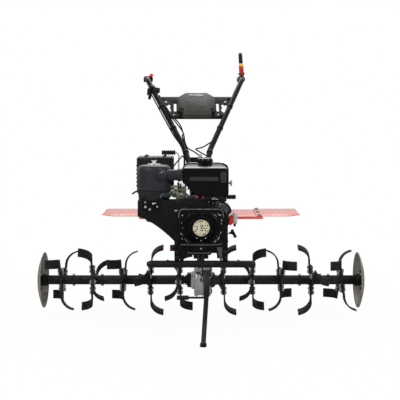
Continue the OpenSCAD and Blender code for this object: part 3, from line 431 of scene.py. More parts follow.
def studs(name, spots, body="chassis", key="steel", radius=None, washer=True):
    """Hexagon bolt heads at points, each along its own direction."""
    r = radius or sizes().bolt_radius
    head = rod("head", (0, 0, 0), (0, 0, r * 0.9), r, 6)
    soften(head, r * 0.14, 2, 30)
    pieces = [head]
    if washer:
        w = r / MM
        profile = [(0, 0), (w * 1.25, 0), (w * 1.35, w * 0.1), (w * 1.3, w * 0.24), (0, w * 0.24)]
        ring = lathe("washer", profile, (0, 0, 0), Z_AXIS, 20)
        pieces.append(shade(ring))
    stud = join("stud", pieces)
    made = repeat(name, stud, [facing(point, way) for point, way in spots])
    return dress(made, key, body=body)


class TillerColours(bpy.types.PropertyGroup):
    """Colours that a user would change."""

    frame_black: bpy.props.FloatVectorProperty(
        name="Frame black", description="Paint of the frame and of the engine's castings",
        default=(0.010, 0.010, 0.011), size=3, subtype="COLOR", min=0, max=1)
    enamel_black: bpy.props.FloatVectorProperty(
        name="Enamel black", description="Gloss enamel of the fuel tank, and gloss plastic",
        default=(0.004, 0.004, 0.005), size=3, subtype="COLOR", min=0, max=1)
    tine_black: bpy.props.FloatVectorProperty(
        name="Tine black", description="Paint of the tines",
        default=(0.020, 0.019, 0.018), size=3, subtype="COLOR", min=0, max=1)
    guard_red: bpy.props.FloatVectorProperty(
        name="Mudguard red", description="Paint of the mudguards",
        default=(0.72, 0.125, 0.085), size=3, subtype="COLOR", min=0, max=1)
    casting: bpy.props.FloatVectorProperty(
        name="Casting grey", description="Bare aluminium castings",
        default=(0.52, 0.525, 0.535), size=3, subtype="COLOR", min=0, max=1)
    plastic_black: bpy.props.FloatVectorProperty(
        name="Plastic black", description="Blower housing, switches and other moulded plastic",
        default=(0.007, 0.007, 0.008), size=3, subtype="COLOR", min=0, max=1)
    zinc: bpy.props.FloatVectorProperty(
        name="Yellow zinc", description="Plated starter screen",
        default=(0.95, 0.86, 0.60), size=3, subtype="COLOR", min=0, max=1)
    signal_red: bpy.props.FloatVectorProperty(
        name="Signal red", description="Engine switch and the governor's caps",
        default=(0.72, 0.03, 0.02), size=3, subtype="COLOR", min=0, max=1)
    panel_grey: bpy.props.FloatVectorProperty(
        name="Panel grey", description="Control panel's cover",
        default=(0.045, 0.043, 0.038), size=3, subtype="COLOR", min=0, max=1)


class TillerSizes(bpy.types.PropertyGroup):
    """Sizes that a user would change."""

    edge_round: bpy.props.FloatProperty(
        name="Edge round", description="Rounding of the edges of the plain pieces",
        default=0.0012, min=0.0002, max=0.004, unit="LENGTH")
    bolt_radius: bpy.props.FloatProperty(
        name="Bolt radius", description="Radius of the common bolt heads, over their corners",
        default=0.0075, min=0.004, max=0.012, unit="LENGTH")
    cable_radius: bpy.props.FloatProperty(
        name="Cable radius", description="Radius of the control cables",
        default=0.003, min=0.0015, max=0.005, unit="LENGTH")


def colours():
    """The scene's colours."""
    return bpy.context.scene.tiller_colours


def sizes():
    """The scene's sizes."""
    return bpy.context.scene.tiller_sizes


class Finish:
    """Builds one procedural material, read in the object's own coordinates."""

    def __init__(self, name, colour, roughness, metallic=0.0):
        self.material = bpy.data.materials.new(name)
        self.material.use_nodes = True
        self.tree = self.material.node_tree
        self.shader = self.tree.nodes["Principled BSDF"]
        self.colour = (*colour, 1)
        self.shader.inputs["Base Color"].default_value = self.colour
        self.shader.inputs["Roughness"].default_value = roughness
        self.shader.inputs["Metallic"].default_value = metallic
        self.roughness = roughness
        self.coords = self.node("ShaderNodeTexCoord").outputs["Object"]

    def node(self, kind, **values):
        made = self.tree.nodes.new(kind)
        for key, value in values.items():
            setattr(made, key, value)
        return made

    def link(self, out, into):
        self.tree.links.new(out, into)

    def noise(self, scale, detail=4.0):
        made = self.node("ShaderNodeTexNoise")
        made.inputs["Scale"].default_value = scale
        made.inputs["Detail"].default_value = detail
        self.link(self.coords, made.inputs["Vector"])
        return made.outputs["Fac"]

    def ranged(self, value, low, high, to_low, to_high):
        made = self.node("ShaderNodeMapRange")
        for key, number in zip(("From Min", "From Max", "To Min", "To Max"), (low, high, to_low, to_high)):
            made.inputs[key].default_value = number
        self.link(value, made.inputs["Value"])
        return made.outputs["Result"]

    def math(self, operation, a, b):
        made = self.node("ShaderNodeMath", operation=operation)
        for value, socket in zip((a, b), made.inputs):
            if isinstance(value, (int, float)):
                socket.default_value = value
            else:
                self.link(value, socket)
        return made.outputs["Value"]

    def mix(self, factor, a, b):
        made = self.node("ShaderNodeMix", data_type="RGBA")
        self.link(factor, made.inputs["Factor"])
        for value, key in ((a, 6), (b, 7)):
            socket = made.inputs[key]
            if hasattr(value, "links"):
                self.link(value, socket)
            else:
                socket.default_value = value
        return made.outputs[2]

    def mottle(self, scale, darker, lighter, rough_change):
        """Uneven colour and gloss in soft patches."""
        patches = self.noise(scale)
        dark = tuple(c * darker for c in self.colour[:3]) + (1,)
        light = tuple(min(1, c * lighter) for c in self.colour[:3]) + (1,)
        self.tint = self.mix(self.ranged(patches, 0.3, 0.7, 0, 1), dark, light)
        self.link(self.tint, self.shader.inputs["Base Color"])
        gloss = self.ranged(
            patches, 0.25, 0.75, self.roughness - rough_change, self.roughness + rough_change)
        self.link(gloss, self.shader.inputs["Roughness"])
        return self

    def grain(self, scale, strength, depth=0.0003):
        """Fine relief."""
        bump = self.node("ShaderNodeBump")
        bump.inputs["Strength"].default_value = strength
        bump.inputs["Distance"].default_value = depth
        self.link(self.noise(scale, 3.0), bump.inputs["Height"])
        self.link(bump.outputs["Normal"], self.shader.inputs["Normal"])
        return self

    def wear_and_highlight_edges(self, bare, radius, amount):
        """A lighter colour along the edges, broken up by noise: bare metal where the paint wears off, and
        for some finishes a painted highlight along the edges.
        """
        bevel = self.node("ShaderNodeBevel", samples=4)
        bevel.inputs["Radius"].default_value = radius
        geometry = self.node("ShaderNodeNewGeometry")
        dot = self.node("ShaderNodeVectorMath", operation="DOT_PRODUCT")
        self.link(bevel.outputs["Normal"], dot.inputs[0])
        self.link(geometry.outputs["Normal"], dot.inputs[1])
        edge = self.ranged(dot.outputs["Value"], 0.995, 0.9, 0, 1)
        broken = self.ranged(self.noise(90), 0.62 - amount, 0.72 - amount, 0, 1)
        mask = self.math("MULTIPLY", edge, broken)
        tinted = self.mix(mask, self.tint, (*bare, 1))
        self.link(tinted, self.shader.inputs["Base Color"])
        self.link(self.math("MULTIPLY", mask, 0.8), self.shader.inputs["Metallic"])
        return self

    def coat(self, weight, roughness):
        self.shader.inputs["Coat Weight"].default_value = weight
        self.shader.inputs["Coat Roughness"].default_value = roughness
        return self

    def specular(self, level):
        self.shader.inputs["Specular IOR Level"].default_value = level
        return self


# Each finish by its key, and the record's slot that it belongs to
MATERIALS = {}


class TILLER_OT_finishes(bpy.types.Operator):
    """Makes the materials of paint, castings, plastic, rubber and plated parts"""

    bl_idname = "tiller.finishes"
    bl_label = "Finishes"

    def execute(self, context):
        c = colours()
        bare = (0.33, 0.31, 0.29)
        # Key, slot, name, colour, roughness, metallic, mottle, grain
        rows = (
            ("frame_paint", "black_paint", "Frame paint", c.frame_black, 0.38, 0.0,
             (30, 0.8, 1.3, 0.06), (700, 0.06)),
            ("enamel", "gloss_black", "Gloss enamel", c.enamel_black, 0.28, 0.0,
             (14, 0.85, 1.2, 0.03), (220, 0.02)),
            # Tine paint; its lighter edges are partly wear at the tips and partly a painted highlight along
            # the blades.
            ("tine_paint", "tine_paint", "Tine paint", c.tine_black, 0.52, 0.0,
             (24, 0.6, 1.5, 0.08), (500, 0.08)),
            ("red_paint", "red_paint", "Mudguard paint", c.guard_red, 0.32, 0.0,
             (10, 0.9, 1.06, 0.05), (600, 0.04)),
            ("casting", "cast_aluminium", "Bare casting", c.casting, 0.46, 0.3,
             (26, 0.75, 1.15, 0.08), (420, 0.35, 0.0004)),
            ("black_casting", "engine_casting", "Painted casting", c.frame_black, 0.45, 0.0,
             (26, 0.8, 1.4, 0.08), (380, 0.3, 0.0004)),
            ("plastic", "black_plastic", "Moulded plastic", c.plastic_black, 0.42, 0.0,
             (20, 0.85, 1.2, 0.05), (1400, 0.12, 0.0002)),
            ("gloss_plastic", "black_plastic", "Gloss plastic", c.enamel_black, 0.26, 0.0,
             (16, 0.85, 1.2, 0.04), (900, 0.03)),
            ("rubber", "grip_rubber", "Grip rubber", (0.011, 0.011, 0.012), 0.62, 0.0,
             (40, 0.8, 1.3, 0.06), (1100, 0.25, 0.0003)),
            ("zinc", "zinc", "Yellow zinc", c.zinc, 0.42, 0.1,
             (60, 0.7, 1.15, 0.08), (600, 0.1)),
            ("steel", "steel", "Bare steel", (0.5, 0.5, 0.51), 0.3, 1.0,
             (50, 0.75, 1.15, 0.08), (800, 0.1)),
            ("carburettor", "cast_zinc", "Die casting", (0.72, 0.73, 0.58), 0.4, 0.15,
             (70, 0.5, 1.3, 0.1), (500, 0.25)),
            ("red_plastic", "red_plastic", "Signal plastic", c.signal_red, 0.28, 0.0,
             (30, 0.9, 1.1, 0.04), (900, 0.04)),
            # Orange-yellow for a band round the clutch lever: a painted highlight on the red lever.
            ("lever_highlight_yellow", "red_paint", "Yellow lever highlight", (0.93, 0.45, 0.035), 0.35, 0.0,
             (30, 0.9, 1.1, 0.04), (900, 0.04)),
            ("grey_plastic", "black_plastic", "Grey plastic", (0.42, 0.43, 0.44), 0.4, 0.0,
             (30, 0.9, 1.08, 0.04), (900, 0.06)),
            ("panel_plastic", "panel_plastic", "Panel plastic", c.panel_grey, 0.45, 0.0,
             (22, 0.85, 1.2, 0.05), (1300, 0.2, 0.0002)),
            ("panel_paint", "panel_steel", "Panel paint", (0.010, 0.010, 0.0085), 0.45, 0.0,
             (24, 0.8, 1.3, 0.06), (700, 0.08)),
            # Grey-brown in place of the discs' black gloss paint: a painted reflection of the bright
            # studio.
            ("disc_sheen_paint", "gloss_black", "Disc paint with painted sheen", (0.200, 0.182, 0.152), 0.2, 0.0,
             (14, 0.7, 1.3, 0.06), (400, 0.08)),
            ("badge", "black_plastic", "Bare badge", (0.034, 0.034, 0.037), 0.3, 0.0,
             (20, 0.9, 1.1, 0.03), (900, 0.04)),
            ("lid_plastic", "black_plastic", "Lid plastic", (0.022, 0.023, 0.028), 0.4, 0.0,
             (18, 0.85, 1.2, 0.05), (1400, 0.10, 0.0002)),
            ("shield", "black_paint", "Shield paint", (0.012, 0.012, 0.013), 0.42, 0.0,
             (26, 0.6, 1.8, 0.08), (500, 0.15)),
            ("bright", "steel", "Bright plate", (0.74, 0.74, 0.75), 0.3, 0.6,
             (50, 0.8, 1.1, 0.06), (700, 0.06)),
            ("green_zinc", "zinc", "Olive zinc", (0.70, 0.74, 0.52), 0.34, 0.2,
             (70, 0.5, 1.3, 0.1), (500, 0.15)),
            ("casting_dark", "engine_casting", "Dark casting", (0.016, 0.016, 0.017), 0.45, 0.0,
             (26, 0.8, 1.4, 0.08), (380, 0.3, 0.0004)),
            # A lighter grey that stands for light: painted highlights on the base's folds and painted light
            # on the right gusset.
            ("gusset", "black_paint", "Painted light grey", (0.055, 0.055, 0.054), 0.42, 0.0,
             (26, 0.8, 1.3, 0.06), (500, 0.1)),
            # Red paint darkened to stand for shade: a painted shadow on the bracket behind the guard.
            ("shaded_red", "red_paint", "Red paint in painted shade", (0.055, 0.006, 0.010), 0.4, 0.0,
             (26, 0.8, 1.2, 0.06), (500, 0.1)),
            ("pink_red", "red_plastic", "Button plastic", (0.72, 0.05, 0.06), 0.3, 0.0,
             (30, 0.9, 1.1, 0.04), (900, 0.04)),
            ("bowl_plastic", "black_plastic", "Bowl plastic", (0.020, 0.021, 0.025), 0.46, 0.0,
             (20, 0.85, 1.15, 0.04), (900, 0.08)),
            # Near-black guard paint; its lighter edges are a painted highlight.
            ("guard_paint", "black_paint", "Guard paint", (0.0055, 0.0055, 0.006), 0.36, 0.0,
             (22, 0.7, 1.4, 0.06), (700, 0.05)),
            # Grey for thin lines that are painted highlights: the shroud's ribs, the arcs round the
            # starter's slots and the guard's top edge.
            ("highlight_line", "black_plastic", "Painted highlight line", (0.12, 0.12, 0.125), 0.4, 0.0,
             (70, 0.3, 1.7, 0.08), (900, 0.1)),
            # Light grey for the painted highlight lines on the starter cover, and for the panel's label.
            ("highlight_and_label_grey", "black_plastic", "Highlight and label grey", (0.36, 0.36, 0.38), 0.4, 0.0,
             (70, 0.4, 1.5, 0.08), (900, 0.1)),
            ("bolt_zinc", "steel", "Bolt zinc", (0.40, 0.39, 0.37), 0.45, 0.1,
             (90, 0.6, 1.2, 0.08), (900, 0.1)),
            # Pale colour for small chips on the carburettor: painted highlights.
            ("pale_highlight", "cast_zinc", "Painted pale highlight", (0.62, 0.60, 0.46), 0.4, 0.2,
             (90, 0.5, 1.3, 0.08), (800, 0.1)),
            # Gloss black plastic whose lighter edges are a painted highlight, on the starter cover and the
            # shroud's shoulder.
            ("highlight_edged_plastic", "black_plastic", "Plastic with painted edge highlights", c.enamel_black, 0.26, 0.0,
             (16, 0.85, 1.2, 0.04), (900, 0.03)),
            # A darkened copy of the bare casting: painted shade on the gearbox's neck under the engine.
            ("shaded_casting", "cast_aluminium", "Casting in painted shade", (0.06, 0.06, 0.06), 0.5, 0.3,
             (30, 0.6, 1.4, 0.08), (420, 0.35, 0.0004)),
            ("axle_steel", "steel", "Oiled steel", (0.022, 0.022, 0.022), 0.45, 0.4,
             (50, 0.7, 1.5, 0.08), (800, 0.1)),
            ("sea_plastic", "black_plastic", "Sea green plastic", (0.014, 0.030, 0.034), 0.35, 0.0,
             (60, 0.5, 1.6, 0.06), (700, 0.1)),
            ("lever_red", "red_paint", "Lever red", (0.42, 0.022, 0.020), 0.35, 0.0,
             (60, 0.55, 1.3, 0.06), (700, 0.06)),
            ("cable", "black_plastic", "Cable sheath", (0.005, 0.005, 0.0055), 0.45, 0.0,
             (60, 0.8, 1.3, 0.05), (900, 0.08)),
        )
        # Edge colour, width and amount: bare metal wear on the frame, panel and disc paint; a painted
        # highlight along the edges of the guard paint and of the starter's plastic; on the tines both wear
        # at the tips and a painted highlight along the blades.
        edge_wear_and_highlights = {
            "frame_paint": (bare, 0.0012, 0.02),
            "tine_paint": ((0.42, 0.40, 0.36), 0.0015, 0.10),
            "panel_paint": (bare, 0.001, 0.02),
            "disc_sheen_paint": (bare, 0.001, 0.02),
            "guard_paint": ((0.10, 0.10, 0.10), 0.0012, 0.08),
            "highlight_edged_plastic": ((0.20, 0.20, 0.21), 0.0010, 0.10),
        }
        shine = {
            "frame_paint": 0.35, "enamel": 0.25, "tine_paint": 0.11, "black_casting": 0.3,
            "plastic": 0.3, "gloss_plastic": 0.3, "rubber": 0.3, "panel_paint": 0.25,
            "badge": 0.3, "lid_plastic": 0.35, "shield": 0.35, "casting_dark": 0.3,
            "bowl_plastic": 0.4, "guard_paint": 0.18, "highlight_edged_plastic": 0.3, "cable": 0.18,
        }
        coats = {"enamel": (0.12, 0.08), "red_paint": (0.18, 0.1)}
        for key, slot, name, colour, roughness, metallic, mottle, grain in rows:
            finish = Finish(name, colour, roughness, metallic).mottle(*mottle).grain(*grain)
            if key in edge_wear_and_highlights:
                finish.wear_and_highlight_edges(*edge_wear_and_highlights[key])
            if key in shine:
                finish.specular(shine[key])
            if key in coats:
                finish.coat(*coats[key])
            MATERIALS[key] = finish.material
        return {"FINISHED"}


class TILLER_OT_stage(bpy.types.Operator):
    """Sets up the floor, the soft studio light and the camera"""

    bl_idname = "tiller.stage"
    bl_label = "Stage"

    camera_distance: bpy.props.FloatProperty(
        name="Camera distance", description="From the rotor's axis", default=4.0, unit="LENGTH")
    camera_height: bpy.props.FloatProperty(
        name="Camera height", description="Above the floor", default=0.91, unit="LENGTH")
    camera_pitch: bpy.props.FloatProperty(
        name="Camera pitch", description="Below the horizon", default=math.radians(6.0), subtype="ANGLE")
    lens: bpy.props.FloatProperty(
        name="Lens", description="Focal length in millimetres", default=85.7)

    def execute(self, context):
        scene = context.scene
        scene.view_settings.view_transform = "Standard"
        self.floor()
        self.world(scene)
        for spot, size, power in (
            ((-2.6, -3.0, 3.4), 2.6, 70),
            ((2.8, -2.4, 2.6), 2.2, 45),
            ((0.0, 2.8, 3.2), 2.4, 55),
        ):
            self.lamp(Vector(spot), size, power)
        clear()
        bpy.ops.object.camera_add(
            location=AXLE + Vector((-0.0042, -self.camera_distance, self.camera_height - AXLE.z)),
            rotation=(math.pi / 2 - self.camera_pitch, 0, 0),
        )
        camera = context.active_object
        camera.data.lens = self.lens
        camera.data.sensor_width = 36
        scene.camera = camera
        return {"FINISHED"}

    def floor(self):
        clear()
        bpy.ops.mesh.primitive_plane_add(size=60, location=(0, 0, 0))
        floor = settle("floor")
        finish = Finish("Studio floor", (0.86, 0.86, 0.86), 0.9)
        white = finish.node("ShaderNodeEmission")
        white.inputs["Strength"].default_value = 1.0
        mixer = finish.node("ShaderNodeMixShader")
        distance = finish.node("ShaderNodeVectorMath", operation="LENGTH")
        finish.link(finish.coords, distance.inputs[0])
        fade = finish.ranged(distance.outputs["Value"], 0.5, 1.6, 0.95, 1)
        path = finish.node("ShaderNodeLightPath")
        finish.link(finish.math("MULTIPLY", fade, path.outputs["Is Camera Ray"]), mixer.inputs["Fac"])
        finish.link(finish.shader.outputs["BSDF"], mixer.inputs[1])
        finish.link(white.outputs["Emission"], mixer.inputs[2])
        dim = finish.node("ShaderNodeEmission")
        dim.inputs["Strength"].default_value = 0.14
        last = finish.node("ShaderNodeMixShader")
        finish.link(path.outputs["Is Glossy Ray"], last.inputs["Fac"])
        finish.link(mixer.outputs["Shader"], last.inputs[1])
        finish.link(dim.outputs["Emission"], last.inputs[2])
        finish.link(last.outputs["Shader"], finish.tree.nodes["Material Output"].inputs["Surface"])
        floor.data.materials.append(finish.material)

    def world(self, scene):
        world = bpy.data.worlds.new("Studio")
        scene.world = world
        world.use_nodes = True
        tree = world.node_tree
        path = tree.nodes.new("ShaderNodeLightPath")
        last = tree.nodes["Background"]
        last.inputs["Strength"].default_value = 0.66
        last.inputs["Color"].default_value = (1, 1, 1, 1)
        way = tree.nodes.new("ShaderNodeTexCoord").outputs["Generated"]
        parts = tree.nodes.new("ShaderNodeSeparateXYZ")
        tree.links.new(way, parts.inputs["Vector"])
        ramp = tree.nodes.new("ShaderNodeMapRange")
        for key, value in (("From Min", 0.05), ("From Max", 0.7), ("To Min", 0.10), ("To Max", 0.9)):
            ramp.inputs[key].default_value = value
        tree.links.new(parts.outputs["Y"], ramp.inputs["Value"])
        for ray, strength in (
            ("Is Glossy Ray", ramp.outputs["Result"]), ("Is Transmission Ray", 1.0),
            ("Is Camera Ray", 1.0)
        ):
            other = tree.nodes.new("ShaderNodeBackground")
            other.inputs["Color"].default_value = (1, 1, 1, 1)
            if isinstance(strength, float):
                other.inputs["Strength"].default_value = strength
            else:
                tree.links.new(strength, other.inputs["Strength"])
            mixer = tree.nodes.new("ShaderNodeMixShader")
            tree.links.new(path.outputs[ray], mixer.inputs["Fac"])
            tree.links.new(last.outputs[0], mixer.inputs[1])
            tree.links.new(other.outputs[0], mixer.inputs[2])
            last = mixer
        tree.links.new(last.outputs[0], tree.nodes["World Output"].inputs["Surface"])

    def lamp(self, spot, size, power):
        clear()
        aim = Vector((0, 0, 0.4)) - spot
        bpy.ops.object.light_add(
            type="AREA", location=spot, rotation=aim.to_track_quat("-Z", "Y").to_euler())
        light = bpy.context.active_object.data
        light.size = size
        light.energy = power


class TILLER_OT_rotor(bpy.types.Operator):
    """Bolts and welds of the tine flanges, pins in the tubes, and the guard discs on their hubs"""

    bl_idname = "tiller.rotor"
    bl_label = "Rotor"

    def execute(self, context):
        for side, flanges in ((-1, FLANGES[:5]), (1, FLANGES[5:])):
            spots = []
            for x, turn, bend in flanges:
                for q in range(4):
                    way = bend * (1 if q % 2 == 0 else -1)
                    for y, z in ((30, 23), (43, 35)):
                        a = turn + 90 * q
                        spots.append((turned((x + way * 9, y, z), a), X_AXIS * way))
                        spots.append((turned((x - way * 3, y, z), a), X_AXIS * -way))
            name = "left" if side < 0 else "right"
            studs("tine_bolts_" + name, spots, "rotor", key="bolt_zinc")
            pins = []
            for x in (64, 420, 541):
                for up in (-1, 1):
                    pins.append((turned((side * x, 0, up * (15 if x == 64 else 19.4)), 0), Z_AXIS * up))
            studs("tube_pins_" + name, pins, "rotor", key="bolt_zinc", radius=0.0065, washer=False)
            collars = [
                lathe("collar", [(20, -4), (24.5, -4), (24.5, 4), (20, 4)],
                      turned((x + side * 7, 0, 0), 0), X_AXIS, 32)
                for x, _, _ in flanges
            ]
            weld = soften(join("flange_welds_" + name, collars), 0.0015)
            dress(weld, "tine_paint", body="rotor")
            self.disc(side, name)
        return {"FINISHED"}

    def disc(self, side, name):
        """A dished disc with a rolled rim, on its hub."""
        steps = 10
        outer = [(118 * k / steps, 25 * (1 - (k / steps) ** 2)) for k in range(steps)]
        profile = outer + [(116.5, 1.2), (118, -0.8), (117.5, -2.8), (115.5, -3)]
        profile += [(r, h - 3) for r, h in reversed(outer)]
        dish = shade(lathe("dish", profile, turned((side * 668, 0, 0), 0), X_AXIS * side, 96), 50)
        hub = lathe(
            "hub", [(0, 0), (23.5, 0), (26, 2), (26, 26), (42, 28), (45, 31), (45, 35), (0, 36)],
            turned((side * 650, 0, 0), 0), X_AXIS * side, 48)
        shade(hub)
        dress(dish, "disc_sheen_paint", "guard_disc_" + name, body="rotor")
        dress(hub, "frame_paint", body="rotor", slot="gloss_black")
        spots = [(spot, X_AXIS * -side) for spot in bolt_circle(side * 677.4, 34, 4)]
        studs("disc_bolts_" + name, spots, "rotor", radius=0.006)


class TILLER_OT_gearbox(bpy.types.Operator):
    """The gearbox casting with its ribs, flanges, axle covers and bolts"""

    bl_idname = "tiller.gearbox"
    bl_label = "Gearbox"

    def execute(self, context):
        case = lathe("case", [
            (0, -29), (60, -29), (65.5, -27.5), (69, -25.5), (69.5, -13.5), (66.5, -12), (66, -4),
            (66, 24), (68, 25.5), (68, 30.5), (65, 32), (65, 36.5), (67.5, 38), (67.5, 41.5), (60, 42),
            (34, 42), (34, 42.5), (0, 42.5)
        ], AXLE, X_AXIS, 72)
        lobe = lathe(
            "lobe", [(0, -42.5), (33, -42.5), (37.5, -39), (38.5, -34), (38.5, -28), (0, -28)], AXLE,
            X_AXIS, 56)
        neck = slab("neck", [place(x, y, z) for x, y, z in (
            (-14, -44, 218), (13, -44, 218), (13, -40, 300), (13, -34, 350), (-14, -34, 350),
            (-14, -40, 300)
        )], (0, 0.09, 0))
        foot = slab("neck_foot", [place(x, y, z) for x, y, z in (
            (-24, -50, 150), (16, -50, 150), (16, -47, 226), (-24, -47, 226))], (0, 0.09, 0))
        # Two thin rings in bright plate round the case: painted highlight streaks.
        rings = [lathe(
            "ring", [(60, -1.2), (70.5, -1.2), (71, 0), (70.5, 1.2), (60, 1.2)], AXLE + X_AXIS * x,
            X_AXIS, 72
        ) for x in (-0.0195, 0.0065)]
        ribs = [box("rib", place(x - 3, -53, 206), place(x + 3, 56, 336)) for x in (-9, 7)]
        ribs += [
            box("rib", place(-17, -52 + 26 * k, 216), place(15, -46 + 26 * k, 340)) for k in range(1, 4)]
        back = box("back", place(-15, -8, 156), place(13, 52, 346))
        upper = box("upper", place(-54, -32, 342), place(54, 118, 488))
        flanges = [
            box("seam", place(-57, -35, 384), place(57, 121, 394)),
            box("lid", place(-57, -35, 480), place(57, 121, 488)),
            box("shelf", place(-40, -50, 332), place(40, 72, 346)),
        ]
        for piece in (neck, foot, upper, back):
            soften(piece, 0.005, 4)
        for piece in ribs + flanges:
            soften(piece, 0.002, 2)
        for piece in [case, lobe] + rings:
            shade(piece, 30)
        dress(join("case_highlight_rings", rings), "bright")
        dress(join("gearbox_casting", [case, lobe, foot, upper, back] + flanges), "casting", "gearbox")
        # The neck and its ribs take the darkened casting: painted shade.
        dress(join("gearbox_neck", [neck] + ribs), "shaded_casting")
        # A thin dark slot where the neck meets the case: a painted shadow gap.
        slot = slab(
            "neck_shadow_gap", [AXLE + Vector((x * MM, -0.071, 0.040 + z * MM)) for x, z in rim(30, 6, 2.9)],
            (0, 0.03, 0))
        moved(slot, Matrix.Translation((-0.0075, 0.0095, 0)))
        dress(soften(slot, 0.0008), "frame_paint")
        for side, name in ((-1, "left"), (1, "right")):
            cover = lathe("cover", [
                (15.2, 0), (31, 0), (32, 1), (32, 12), (30, 13), (25, 13.5), (25, 16.5), (22, 18),
                (15.2, 18)
            ], AXLE + X_AXIS * side * 0.0425, X_AXIS * side, 48)
            dress(shade(cover, 30), "frame_paint", "axle_cover_" + name)
            spots = [(spot, X_AXIS * side) for spot in bolt_circle(side * 55, 27, 6)]
            studs("cover_bolts_" + name, spots, key="frame_paint", radius=0.0042, washer=False)
        refined("drive_axle", "axle_steel", 0.001)
        spots = [(spot, X_AXIS) for spot in bolt_circle(42, 52, 8)]
        for x in (-46, 46):
            for y in (-24, 20, 66, 110):
                spots.append((place(x, y, 488), Z_AXIS))
        for z in (372, 406, 440, 468):
            for y in (-20, 106):
                spots.append((place(54, y, z), X_AXIS))
                spots.append((place(-54, y, z), -X_AXIS))
        studs("gearbox_bolts", spots, radius=0.0065)
        studs("oil_plug", [(AXLE + Vector((0.004, -0.0655, 0.012)), -Y_AXIS)], radius=0.007)
        return {"FINISHED"}


